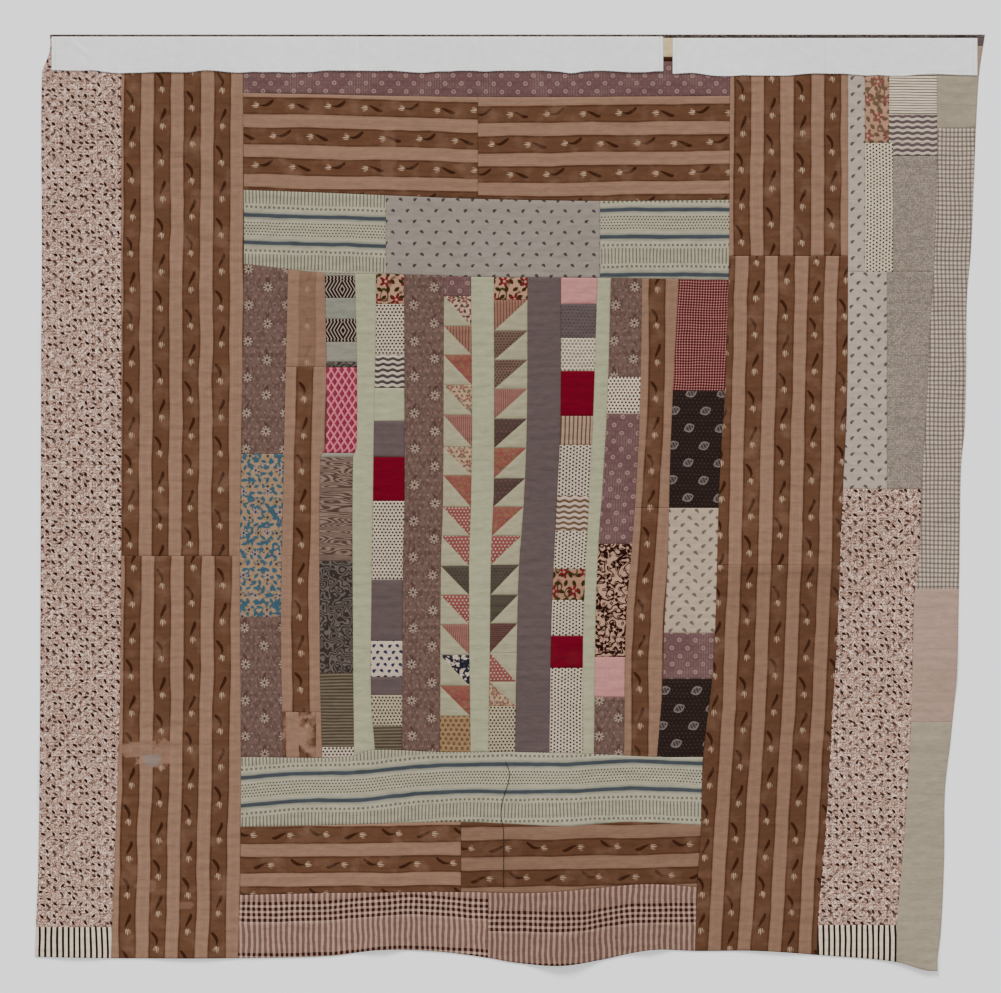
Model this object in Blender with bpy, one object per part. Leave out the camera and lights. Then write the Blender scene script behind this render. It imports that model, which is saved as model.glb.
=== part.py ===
"""Pieced patchwork coverlet, laid flat on its back with its face up, and the two white cotton
tapes sewn along its head edge.

Run with: blender --background --python part.py

Metres, +Z up out of the face, +X to the right-hand side, +Y to the taped head edge. The origin is
the middle of the footprint, on the surface that the coverlet lies on. The sheet is one closed body:
it touches the surface wherever it is flat, and lifts off it in the soft folds of the table FOLDS.
"""

import bmesh
import bpy
import numpy as np

MM = 0.001

# Driving dimensions
HEAD_Y = 1030 * MM
FOOT_Y = -1000 * MM
CLOTH_THICKNESS = 3.0 * MM
HEM_THICKNESS = 2.2 * MM
HEM_WIDTH = 12 * MM
TAPE_THICKNESS = 1.0 * MM
SEWN_GAP = 0.3 * MM

# Spacing of the sheet's rows and columns of faces
COLUMN_STEP = 31 * MM
ROW_STEP = 42 * MM
CREASE_ROW_STEP = 12 * MM
CREASE_ROWS = (-526 * MM, -145 * MM)

# How quickly the waves of the foot edge die out up the sheet, as a power of the distance
FOOT_WAVE_FADE = 5

# The stiffer foot and side borders curl up very slightly, so that the sheet bears on the rest: corners of
# the bearing area going round from the left foot corner (mm), and the rise outside it
BEARING_CORNERS = ((-820, -760), (700, -760), (1045, 1030), (-1026, 1030))
BORDER_SLOPE = 0.008
BORDER_RISE = 1.2 * MM

# Left and right edges, from foot to head: y, x of the left edge (mm)
LEFT_EDGE = (
    (-1000, -1045),
    (-929, -1043),
    (-808, -1038),
    (-434, -1034),
    (182, -1032),
    (556, -1030),
    (944, -1030),
    (972, -1020),
    (996, -1012),
    (1030, -1012),
)
# y, x of the right edge (mm)
RIGHT_EDGE = (
    (-1000, 940),
    (-940, 948),
    (-786, 955),
    (-632, 957),
    (-533, 968),
    (-445, 977),
    (-379, 983),
    (-181, 988),
    (72, 992),
    (182, 1001),
    (446, 1005),
    (556, 1014),
    (666, 1019),
    (820, 1025),
    (941, 1032),
    (1030, 1045),
)
# Foot edge from left to right: x, y (mm)
FOOT_EDGE = (
    (-1045, -999),
    (-876, -1002),
    (-594, -1002),
    (-396, -997),
    (-286, -984),
    (-154, -988),
    (-44, -1002),
    (11, -1012),
    (110, -1018),
    (198, -1006),
    (308, -984),
    (409, -986),
    (550, -986),
    (678, -995),
    (849, -1010),
    (913, -1028),
    (940, -1030),
)

# Soft folds that lift the sheet, each a ridge along a straight line (mm). A fold's line runs from
# (x0, y0) to (x1, y1), its height goes from height0 to height1, and it dies away sideways over
# half_width and at each end over end_fade. Lines that start past the foot edge are full there.
FOLD_COLUMNS = ("name", "x0", "y0", "x1", "y1", "half_width", "height0", "height1", "end_fade")
FOLDS = (
    ("foot_flute_middle", 114, -1180, 125, -450, 100, 19, 3, 140),
    ("foot_flute_left", -286, -1180, -293, -620, 68, 11, 2, 120),
    ("foot_flute_right", 301, -1180, 308, -600, 64, 12, 2, 120),
    ("foot_lift_left_panel", -704, -1180, -693, -840, 120, 8, 1, 120),
    ("foot_lift_left_corner", -965, -1180, -940, -830, 95, 7, 1, 120),
    ("foot_lift_right_panel", 572, -1180, 590, -780, 100, 8, 1, 120),
    ("foot_corner_right", 960, -1130, 790, -820, 95, 12, 1, 90),
    ("left_edge_lift_low", -1150, -620, -900, -600, 120, 5, 1, 80),
    ("left_edge_lift_high", -1150, 330, -900, 350, 130, 4, 1, 80),
    ("right_edge_lift_low", 1090, -360, 830, -350, 110, 6, 1, 80),
    ("right_edge_lift_high", 1130, 330, 880, 320, 130, 5, 1, 80),
    ("head_pucker_1", -916, 936, -905, 780, 34, 5, 2, 40),
    ("head_pucker_2", -846, 936, -838, 800, 34, 5, 2, 40),
    ("head_pucker_3", -612, 936, -618, 770, 38, 5, 2, 45),
    ("head_pucker_4", -458, 936, -462, 810, 34, 5, 2, 40),
    ("head_pucker_5", -398, 936, -392, 790, 34, 4, 2, 40),
    ("head_pucker_6", -198, 936, -205, 800, 38, 5, 2, 45),
    ("head_pucker_7", 66, 936, 60, 790, 40, 5, 2, 45),
    ("head_pucker_8", 242, 936, 250, 800, 36, 5, 2, 45),
    ("head_pucker_9", 462, 930, 470, 790, 38, 4, 2, 45),
    ("head_pucker_10", 628, 930, 620, 780, 36, 4, 2, 45),
    ("head_pucker_11", 806, 930, 800, 790, 38, 4, 2, 45),
    ("left_drag_fold_1", -840, 850, -590, 715, 38, 3, 4, 80),
    ("left_drag_fold_2", -925, 745, -585, 560, 40, 4, 4, 90),
    ("left_drag_fold_3", -905, 630, -640, 440, 36, 3, 3, 80),
    ("right_drag_fold_1", 620, 760, 840, 610, 40, 3, 3, 80),
    ("right_drag_fold_2", 860, 560, 985, 420, 40, 3, 4, 70),
    ("crease_left", -915, -526, -610, -526, 24, 3, 3, 70),
    ("crease_right", 590, -526, 990, -526, 24, 4, 3, 70),
    ("crease_right_panel", 450, -145, 745, -145, 24, 3, 3, 70),
    ("centre_sag_left", -470, -120, -420, -560, 60, 3, 4, 120),
    ("centre_sag_right", 400, 330, 380, -330, 60, 3, 4, 150),
    ("centre_sag_middle", -30, 560, -45, 40, 70, 3, 3, 150),
    ("thread_fold", -14, -575, -18, -900, 30, 4, 3, 60),
)

# Header tapes, sewn on the face: head and foot edge (y), left end and right end (x) at each (mm)
TAPES = {
    "header_tape_long": {"head": (1025, -1008, 337), "foot": (950, -1007, 336)},
    "header_tape_short": {"head": (1022, 359, 1028), "foot": (943, 358, 1021)},
}

PATCHWORK_COLOUR = (0.26, 0.18, 0.14, 1.0)
TAPE_COLOUR = (0.66, 0.64, 0.61, 1.0)


def clear_scene():
    """Remove the objects that Blender starts with."""
    for thing in list(bpy.data.objects):
        bpy.data.objects.remove(thing, do_unlink=True)


def cotton(name, colour):
    """A matt cotton material."""
    material = bpy.data.materials.new(name)
    material.use_nodes = True
    shader = material.node_tree.nodes["Principled BSDF"]
    shader.inputs["Base Color"].default_value = colour
    shader.inputs["Roughness"].default_value = 0.9
    shader.inputs["Metallic"].default_value = 0.0
    return material


def smooth_curve(table_mm, at):
    """Value at each place of the smooth curve through a two-column table: cubic Hermite pieces
    whose slope at a point is that of the straight line between its two neighbours."""
    place, value = np.array(table_mm, float).T * MM
    rise = np.diff(value) / np.diff(place)
    inner = (value[2:] - value[:-2]) / (place[2:] - place[:-2])
    slope = np.concatenate((rise[:1], inner, rise[-1:]))
    at = np.clip(at, place[0], place[-1])
    left = np.clip(np.searchsorted(place, at, side="right") - 1, 0, len(place) - 2)
    span = place[left + 1] - place[left]
    t = (at - place[left]) / span
    start = (1 + 2 * t) * (1 - t) ** 2 * value[left] + t * (1 - t) ** 2 * span * slope[left]
    end = t**2 * (3 - 2 * t) * value[left + 1] - t**2 * (1 - t) * span * slope[left + 1]
    return start + end


def fold_lift(x, y):
    """Height of the sheet's underside above the surface: the sum of the folds, each a half-cosine
    across its line times a straight change of height along it, softened at both ends."""
    lift = np.zeros_like(x)
    for row in FOLDS:
        fold = dict(zip(FOLD_COLUMNS, row))
        start = np.array((fold["x0"], fold["y0"])) * MM
        line = np.array((fold["x1"], fold["y1"])) * MM - start
        length = float(np.hypot(line[0], line[1]))
        along = ((x - start[0]) * line[0] + (y - start[1]) * line[1]) / length
        aside = ((x - start[0]) * line[1] - (y - start[1]) * line[0]) / length
        across = 0.5 + 0.5 * np.cos(np.pi * np.clip(np.abs(aside) / (fold["half_width"] * MM), 0, 1))
        to_end = np.minimum(along, length - along) / (fold["end_fade"] * MM)
        ends = 0.5 - 0.5 * np.cos(np.pi * np.clip(to_end, 0, 1))
        share = np.clip(along / length, 0, 1)
        height = (fold["height0"] * (1 - share) + fold["height1"] * share) * MM
        lift += height * across * ends
    return lift


def border_lift(x, y):
    """Height of the curled border: nothing inside the bearing area, and outside it a straight rise
    with the distance from its nearest side, levelling off at BORDER_RISE."""
    outside = np.zeros_like(x)
    corners = np.array(BEARING_CORNERS) * MM
    for start, end in zip(corners, np.roll(corners, -1, axis=0)):
        side = (end - start) / np.hypot(*(end - start))
        outside = np.maximum(outside, (x - start[0]) * side[1] - (y - start[1]) * side[0])
    return BORDER_RISE * np.tanh(outside * BORDER_SLOPE / BORDER_RISE)


def grid_lines():
    """Shares from left to right, and heights from foot to head, of the sheet's grid lines, with a
    line along each hem and closer rows at the narrow creases."""
    width = smooth_curve(RIGHT_EDGE, np.array([0.0]))[0] - smooth_curve(LEFT_EDGE, np.array([0.0]))[0]
    hem_share = HEM_WIDTH / width
    columns = np.linspace(hem_share, 1 - hem_share, round(width / COLUMN_STEP))
    columns = np.concatenate(([0.0], columns, [1.0]))
    rows = np.linspace(FOOT_Y + HEM_WIDTH, HEAD_Y - HEM_WIDTH, round((HEAD_Y - FOOT_Y) / ROW_STEP))
    for crease in CREASE_ROWS:
        near = crease + CREASE_ROW_STEP * np.arange(-2, 3)
        rows = rows[np.abs(rows - crease) > 2.5 * CREASE_ROW_STEP]
        rows = np.concatenate((rows, near))
    rows = np.concatenate(([FOOT_Y], np.sort(rows), [HEAD_Y]))
    return columns, rows


def sheet_points():
    """Plan of the grid: each row runs straight from the left edge to the right edge, and the rows
    near the foot follow the waves of the foot edge less and less towards the head."""
    columns, rows = grid_lines()
    share, base = np.meshgrid(columns, rows)
    x = smooth_curve(LEFT_EDGE, base) * (1 - share) + smooth_curve(RIGHT_EDGE, base) * share
    up = (base - FOOT_Y) / (HEAD_Y - FOOT_Y)
    y = base + (smooth_curve(FOOT_EDGE, x) - FOOT_Y) * (1 - up) ** FOOT_WAVE_FADE
    thickness = np.full_like(x, CLOTH_THICKNESS)
    thickness[[0, -1], :] = HEM_THICKNESS
    thickness[:, [0, -1]] = HEM_THICKNESS
    return x, y, thickness


def add_object(name, shape, material):
    """An object made from a bmesh, with its material."""
    mesh = bpy.data.meshes.new(name)
    bmesh.ops.recalc_face_normals(shape, faces=shape.faces)
    shape.to_mesh(mesh)
    shape.free()
    mesh.materials.append(material)
    thing = bpy.data.objects.new(name, mesh)
    bpy.context.scene.collection.objects.link(thing)
    return thing


def make_coverlet(material):
    """The sheet: an underside and a face on the same grid, joined by the wall of the hem. Each cell
    is split along its shorter rise, so that the folds run smooth."""
    x, y, thickness = sheet_points()
    lift = fold_lift(x, y) + border_lift(x, y)
    shape = bmesh.new()
    under = [[shape.verts.new(p) for p in zip(*row)] for row in zip(x, y, lift)]
    face = [[shape.verts.new(p) for p in zip(*row)] for row in zip(x, y, lift + thickness)]
    last_row, last_column = x.shape[0] - 1, x.shape[1] - 1
    for j in range(last_row):
        for i in range(last_column):
            rising = abs(lift[j, i] - lift[j + 1, i + 1])
            falling = abs(lift[j, i + 1] - lift[j + 1, i])
            for layer in (under, face):
                a, b = layer[j][i], layer[j][i + 1]
                c, d = layer[j + 1][i + 1], layer[j + 1][i]
                triangles = ((a, b, c), (a, c, d)) if rising <= falling else ((a, b, d), (b, c, d))
                for triangle in triangles:
                    shape.faces.new(triangle)
    rim = [(0, i) for i in range(last_column)]
    rim += [(j, last_column) for j in range(last_row)]
    rim += [(last_row, i) for i in range(last_column, 0, -1)]
    rim += [(j, 0) for j in range(last_row, 0, -1)]
    for (j0, i0), (j1, i1) in zip(rim, rim[1:] + rim[:1]):
        shape.faces.new((under[j0][i0], under[j1][i1], face[j1][i1]))
        shape.faces.new((under[j0][i0], face[j1][i1], face[j0][i0]))
    return add_object("coverlet", shape, material)


def make_tape(name, ends, material):
    """A flat tape on the face of the sheet: a four-cornered plate a hair above the cloth."""
    head_y, head_left, head_right = ends["head"]
    foot_y, foot_left, foot_right = ends["foot"]
    corners = ((foot_left, foot_y), (foot_right, foot_y), (head_right, head_y), (head_left, head_y))
    low = CLOTH_THICKNESS + SEWN_GAP
    shape = bmesh.new()
    base = shape.faces.new([shape.verts.new((cx * MM, cy * MM, low)) for cx, cy in corners])
    raised = bmesh.ops.extrude_face_region(shape, geom=[base])["geom"]
    moved = [v for v in raised if isinstance(v, bmesh.types.BMVert)]
    bmesh.ops.translate(shape, vec=(0, 0, TAPE_THICKNESS), verts=moved)
    return add_object(name, shape, material)


def build():
    """Make every piece."""
    clear_scene()
    make_coverlet(cotton("patchwork_cotton", PATCHWORK_COLOUR))
    tape_cotton = cotton("white_cotton_tape", TAPE_COLOUR)
    for name, ends in TAPES.items():
        make_tape(name, ends, tape_cotton)


build()
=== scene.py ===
"""Looks of the pieced patchwork coverlet: its printed cotton patches, quilting, lining and header
tapes, laid on a pale floor under soft light."""

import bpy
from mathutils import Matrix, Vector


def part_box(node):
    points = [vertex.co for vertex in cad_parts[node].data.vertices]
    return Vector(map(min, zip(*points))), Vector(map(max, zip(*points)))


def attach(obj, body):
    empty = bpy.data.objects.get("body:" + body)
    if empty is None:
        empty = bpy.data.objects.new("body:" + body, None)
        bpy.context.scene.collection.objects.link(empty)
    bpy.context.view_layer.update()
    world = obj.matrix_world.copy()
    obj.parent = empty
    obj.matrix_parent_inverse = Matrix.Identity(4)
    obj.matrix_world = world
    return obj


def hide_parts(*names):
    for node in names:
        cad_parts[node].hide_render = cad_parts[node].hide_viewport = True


bl_info = {
    "name": "Patchwork Coverlet",
    "version": (1, 0, 0),
    "blender": (4, 5, 0),
    "location": "3D View > Sidebar > Coverlet",
    "description": "Makes a pieced and quilted cotton coverlet with header tapes",
    "category": "Add Mesh",
}

import bpy
import numpy as np
from mathutils import Vector

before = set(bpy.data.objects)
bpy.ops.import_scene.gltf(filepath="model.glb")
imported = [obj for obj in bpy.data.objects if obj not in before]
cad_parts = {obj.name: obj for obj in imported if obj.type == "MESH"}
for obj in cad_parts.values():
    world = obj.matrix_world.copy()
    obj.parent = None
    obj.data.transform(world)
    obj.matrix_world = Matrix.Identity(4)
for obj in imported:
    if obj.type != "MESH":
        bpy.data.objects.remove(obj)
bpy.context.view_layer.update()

BODY = "root"
MM = 0.001

# The patchwork is laid out on a plan: x to the right and y to the foot, in steps of this many mm
STEP = 2.2
PLAN_MIDDLE_X = 510.0
PLAN_MIDDLE_Y = 502.75
HEAD_Y = 34.5
HEM_Y = 38.0
TAPE_FOOT_Y = 74.0
CAMERA_HEIGHT = 12.0
PICTURE_WIDTH = 1001
PICTURE_HEIGHT = 993

# Outline of the coverlet, in mm from its middle. y, x of the left edge
LEFT_EDGE = (
    (-1000, -1045), (-929, -1043), (-808, -1038), (-434, -1034), (182, -1032), (556, -1030),
    (944, -1030), (972, -1020), (996, -1012), (1030, -1012),
)
# y, x of the right edge
RIGHT_EDGE = (
    (-1000, 940), (-940, 948), (-786, 955), (-632, 957), (-533, 968), (-445, 977), (-379, 983),
    (-181, 988), (72, 992), (182, 1001), (446, 1005), (556, 1014), (666, 1019), (820, 1025),
    (941, 1032), (1030, 1045),
)
# x, y of the foot edge
FOOT_EDGE = (
    (-1045, -999), (-876, -1002), (-594, -1002), (-396, -997), (-286, -984), (-154, -988), (-44, -1002),
    (11, -1012), (110, -1018), (198, -1006), (308, -984), (409, -986), (550, -986), (678, -995),
    (849, -1010), (913, -1028), (940, -1030),
)

# Soft folds of the sheet, as the solid has them (mm): a ridge from (x0, y0) to (x1, y1)
FOLD_COLUMNS = ("name", "x0", "y0", "x1", "y1", "half_width", "height0", "height1", "end_fade")
FOLDS = (
    ("foot_flute_middle", 114, -1180, 125, -450, 100, 19, 3, 140),
    ("foot_flute_left", -286, -1180, -293, -620, 68, 11, 2, 120),
    ("foot_flute_right", 301, -1180, 308, -600, 64, 12, 2, 120),
    ("foot_lift_left_panel", -704, -1180, -693, -840, 120, 8, 1, 120),
    ("foot_lift_left_corner", -965, -1180, -940, -830, 95, 7, 1, 120),
    ("foot_lift_right_panel", 572, -1180, 590, -780, 100, 8, 1, 120),
    ("foot_corner_right", 960, -1130, 790, -820, 95, 12, 1, 90),
    ("left_edge_lift_low", -1150, -620, -900, -600, 120, 5, 1, 80),
    ("left_edge_lift_high", -1150, 330, -900, 350, 130, 4, 1, 80),
    ("right_edge_lift_low", 1090, -360, 830, -350, 110, 6, 1, 80),
    ("right_edge_lift_high", 1130, 330, 880, 320, 130, 5, 1, 80),
    ("head_pucker_1", -916, 936, -905, 780, 34, 5, 2, 40),
    ("head_pucker_2", -846, 936, -838, 800, 34, 5, 2, 40),
    ("head_pucker_3", -612, 936, -618, 770, 38, 5, 2, 45),
    ("head_pucker_4", -458, 936, -462, 810, 34, 5, 2, 40),
    ("head_pucker_5", -398, 936, -392, 790, 34, 4, 2, 40),
    ("head_pucker_6", -198, 936, -205, 800, 38, 5, 2, 45),
    ("head_pucker_7", 66, 936, 60, 790, 40, 5, 2, 45),
    ("head_pucker_8", 242, 936, 250, 800, 36, 5, 2, 45),
    ("head_pucker_9", 462, 930, 470, 790, 38, 4, 2, 45),
    ("head_pucker_10", 628, 930, 620, 780, 36, 4, 2, 45),
    ("head_pucker_11", 806, 930, 800, 790, 38, 4, 2, 45),
    ("left_drag_fold_1", -840, 850, -590, 715, 38, 3, 4, 80),
    ("left_drag_fold_2", -925, 745, -585, 560, 40, 4, 4, 90),
    ("left_drag_fold_3", -905, 630, -640, 440, 36, 3, 3, 80),
    ("right_drag_fold_1", 620, 760, 840, 610, 40, 3, 3, 80),
    ("right_drag_fold_2", 860, 560, 985, 420, 40, 3, 4, 70),
    ("crease_left", -915, -526, -610, -526, 24, 3, 3, 70),
    ("crease_right", 590, -526, 990, -526, 24, 4, 3, 70),
    ("crease_right_panel", 450, -145, 745, -145, 24, 3, 3, 70),
    ("centre_sag_left", -470, -120, -420, -560, 60, 3, 4, 120),
    ("centre_sag_right", 400, 330, 380, -330, 60, 3, 4, 150),
    ("centre_sag_middle", -30, 560, -45, 40, 70, 3, 3, 150),
    ("thread_fold", -14, -575, -18, -900, 30, 4, 3, 60),
)
# Sharp creases across the cloth: x and y of both ends (plan steps), depth in mm
CREASES = (
    (122, 728, 243, 726, 1.5),
    (122, 745, 243, 744, 1.2),
    (716, 568, 846, 570, 1.4),
    (716, 575, 846, 576, 0.9),
    (780, 738, 958, 737, 1.6),
    (780, 744, 958, 742, 1.1),
    (383, 758, 384, 824, 1.0),
    (359, 780, 359, 826, 0.9),
    (68, 38, 96, 62, 0.9),
)
TAPES = ("header_tape_long", "header_tape_short")
# Corners of the area that bears on the surface, and the slight curl outside it (mm)
BEARING_CORNERS = ((-820, -760), (700, -760), (1045, 1030), (-1026, 1030))
BORDER_SLOPE = 0.008
BORDER_RISE = 1.2

# Heights over the surface and widths on the face, mm
LINING_INSET = 2.5
ROUND = 5
CREASE_WIDTH = 4.5
CREASE_FADE = 30
PUFF_REACH = 20
HEM_LEVEL = 0.5
HEM_RISE = 2.9
HEM_LINE = (9, 2.2)
HEM_LINE_DEPTH = 0.35
ALLOWANCE = (5, 2.5)
ALLOWANCE_RISE = 0.3
TAPE_DIP = 1.5
TAPE_TOP = 4.8
TAPE_SINK = 2.0
TAPE_FACE = (0.35, 0.65)
TAPE_LINE = (4.5, 1.6)
TAPE_LINE_DEPTH = 0.25
TAPE_CREASE = 2.4
PATCH_LIP = 1.6
# Unevenness in layers: strength, width and length of a cell (mm), seed
ROW_WANDER = ((5, 210, 300, 11), (2.5, 60, 90, 12))
ROW_STRENGTH = ((0.4, 120, 160, 13),)
CRINKLE = ((0.55, 46, 15, 14), (0.8, 75, 60, 15), (0.35, 24, 24, 16))
DRIFT_ACROSS = ((1.7, 75, 90, 41), (0.8, 24, 30, 42))
DRIFT_DOWN = ((1.7, 90, 75, 43), (0.8, 30, 24, 44))
TAPE_WANDER = ((3.6, 66, 10, 37), (1.2, 27, 10, 38))
TAPE_RIPPLE = ((0.25, 45, 60, 31),)
STITCH_LEAN = ((1, 3, 10, 51),)
# A whole turn, as the wave prints use it
TURN = 6.2832
# Lights: name, the place that each shines from, and its strength
LIGHTS = (("head_light", (-0.5, 1.5, 1.15), 3.4), ("side_light", (1.4, -0.2, 1.5), 0.7))
LIGHT_SPREAD = 0.4
ROOM_COLOUR = (0.95, 0.97, 1.0, 1.0)
ROOM_STRENGTH = 0.6
UNIT_SQUARE = ((-1, -1), (1, -1), (1, 1), (-1, 1))
FLOOR_HALF = 8.0
FLOOR_DROP = 0.0006
FLOOR_GLOW = 0.24
SENSOR_WIDTH = 36.0

# Long seams of the patchwork, from head to foot: y, x (plan steps)
SEAM_SPECKLE = ((72, 121.5), (600, 121), (745, 119), (850, 115), (957, 111))
SEAM_CENTRE_LEFT = ((72, 243), (264, 244), (420, 242), (560, 240), (757, 241), (896, 240), (957, 238))
SEAM_CENTRE_RIGHT = (
    (72, 730), (256, 729), (330, 727), (391, 725), (450, 721), (510, 718.5), (633, 715), (679, 712),
    (757, 703), (825, 701), (889, 697), (951, 695),
)
SEAM_BROWN_RIGHT = (
    (72, 848), (256, 848), (400, 847), (489, 843), (560, 840), (620, 838), (720, 832), (825, 826),
    (921, 818), (955, 817),
)
SEAM_OUTER_RIGHT = (
    (72, 937), (156, 937), (250, 935), (330, 930), (400, 927), (489, 921.5), (560, 919), (600, 914),
    (720, 911), (825, 905), (921, 897), (965, 896),
)
# Seams between the fifteen columns of the centre, from left to right: y, x
COLUMN_SEAMS = (
    SEAM_CENTRE_LEFT,
    ((264, 288), (454, 284), (620, 281), (755, 283)),
    ((275, 325), (367, 326.5), (448, 325.5), (458, 320.5), (660, 320), (747, 322)),
    ((275, 355), (368, 357), (448, 356.5), (458, 353), (640, 353), (747, 354)),
    ((272, 376), (330, 376), (420, 374), (500, 373), (600, 371.5), (690, 371), (750, 375)),
    ((275, 404), (500, 404.5), (560, 403), (640, 402.5), (752, 402)),
    ((275, 444), (500, 443), (560, 441), (752, 440)),
    ((275, 471), (420, 472), (500, 471), (570, 469), (752, 470.5)),
    ((275, 494), (480, 494), (560, 491), (640, 490), (752, 488.5)),
    ((275, 527.5), (420, 527), (500, 524), (570, 519), (640, 517), (752, 515)),
    ((275, 561), (420, 560.5), (500, 557), (560, 554), (640, 551), (752, 549.5)),
    ((275, 597.5), (420, 593), (500, 589), (560, 586), (640, 583), (752, 583)),
    ((275, 611), (400, 607.5), (480, 603), (544, 598.5), (600, 596), (657, 595), (754, 594)),
    ((275, 642), (400, 640), (480, 636.5), (544, 632), (620, 626), (754, 624)),
    ((279, 679), (391, 673), (450, 670.5), (510, 669), (560, 668), (633, 664), (679, 663), (757, 657)),
    SEAM_CENTRE_RIGHT,
)
# Cross seams of the centre, from left to right: x, y
SEAM_RING_STRIP = ((243, 93), (478, 97), (730, 96))
SEAM_BAND_HEAD = ((243, 190), (330, 193), (400, 196), (478, 199), (600, 201), (730, 200))
SEAM_COLUMNS_HEAD = ((244, 264), (323, 273), (386, 274), (478, 277), (600, 278), (730, 280))
SEAM_COLUMNS_FOOT = (
    (241, 757), (350, 757), (372, 750), (440, 752), (515, 752), (594, 754), (657, 757), (703, 757),
)
SEAM_BAND_FOOT = ((240, 827), (330, 825), (463, 822), (563, 826), (630, 822), (697, 825))
SEAM_CHECK = ((240, 895), (330, 893), (460, 892), (530, 893), (597, 888), (647, 884), (697, 887))

# What each column is pieced from, from head to foot: print and the y where it ends (None: the foot)
COLUMN_PATCHES = (
    (("purple_star", 454), ("blue_floral", 617), ("purple_star", None)),
    (("faded_column", 367), ("brown_column", 712), ("worn_brown", None)),
    (
        ("pale_sage", 276), ("black_chevron", 298), ("pale_blue_green", 319), ("black_chevron", 342),
        ("pale_sage", 362), ("dark_worm", 367.5), ("raspberry_lattice", 453), ("pale_sage", 457.5),
        ("brown_moire", 561), ("dark_worm", 673), ("olive_stripe", 747), ("cream_dots", None),
    ),
    (("sage", None),),
    (
        ("chintz", 304), ("cream_dots", 355), ("black_wave", 388), ("sage", 421), ("grey_purple", 457),
        ("red", 501), ("cream_dots", 580), ("grey_purple", 641), ("cream_sprig", 677),
        ("grey_purple", 695), ("dull_dots", 726), ("olive_stripe", None),
    ),
    (("purple_flower", None),),
    None,
    (("sage", None),),
    None,
    (("grey_purple", None),),
    (
        ("pink", 304), ("dark_grey", 338), ("cream_leaf", 371), ("red", 416), ("brown_pinstripe", 445),
        ("turned_dots", 496), ("grey_wave", 531), ("turned_dots", 569), ("chintz_deep", 600),
        ("turned_dots", 636), ("red", 668), ("turned_dots", None),
    ),
    (("sage", None),),
    (
        ("purple_star", 377), ("pink_dots", 414), ("ring_print", 544), ("vine", 657), ("pink", 697),
        ("purple_star", None),
    ),
    (("brown_narrow", 508), ("brown_narrow", None)),
    (
        ("red_check", 391), ("black_leaf", 508), ("white_sprig", 633), ("ring_print", 679),
        ("black_leaf", None),
    ),
)
# The two columns of squares, each square two triangles: first patch, then the y lines of the
# squares, which way their seam runs, the squares sewn in upside down, and the dark print of each
SQUARE_COLUMNS = {
    6: {
        "first": ("ring_print", 296),
        "lines": (296, 326, 355, 385, 415, 447, 475.5, 507, 536, 566, 595, 624.5, 655, 686, 716),
        "seam": "falling",
        "turned": (),
        "dark": (
            "peach_floral", "rust_stripe", "orange_red", "cream_floral", "pink_stripe", "cream_floral",
            "orange_red", "rose_ochre", "rose_ochre", "slate_square", "rose_ochre", "pink_stripe",
            "navy_floral", "orange_red",
        ),
        "last": "ochre_dots",
    },
    8: {
        "first": ("chintz", 300),
        "lines": (300, 331, 360, 389, 419, 448, 478.5, 507, 536, 565, 595, 623.5, 653, 681.6, 706),
        "seam": "rising",
        "turned": (12, 13),
        "dark": (
            "rust_stripe", "umber_dots", "umber_dots", "pink_stripe", "plum", "orange_red", "plum",
            "orange_red", "rose_ochre", "slate_square", "dark_olive", "maroon", "rose_ochre",
            "cream_floral",
        ),
        "last": "dull_dots",
    },
}
PALE_TRIANGLE = "pale_triangle"
# Rubbed places: x, y, half width, half height (plan steps), strength
RUBBED = (
    (134, 749, 14, 8, 0.85), (163, 753, 14, 13, 0.85), (150, 762, 14, 6, 0.8), (146, 886, 12, 6, 0.4),
    (388, 150, 8, 30, 0.2), (186, 905, 8, 4, 0.35), (305, 735, 9, 12, 0.5),
)
# The loose dark thread: share of its length, x, y (plan steps)
LOOSE_THREAD = (
    (0, 505.5, 761), (0.11, 509.6, 775), (0.29, 503.5, 798), (0.42, 501, 814), (0.55, 503.5, 831),
    (1, 503.5, 888),
)
# Where the print has worn away to the greyish thread
BARE = (152, 760, 8, 7, 0.7)

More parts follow.
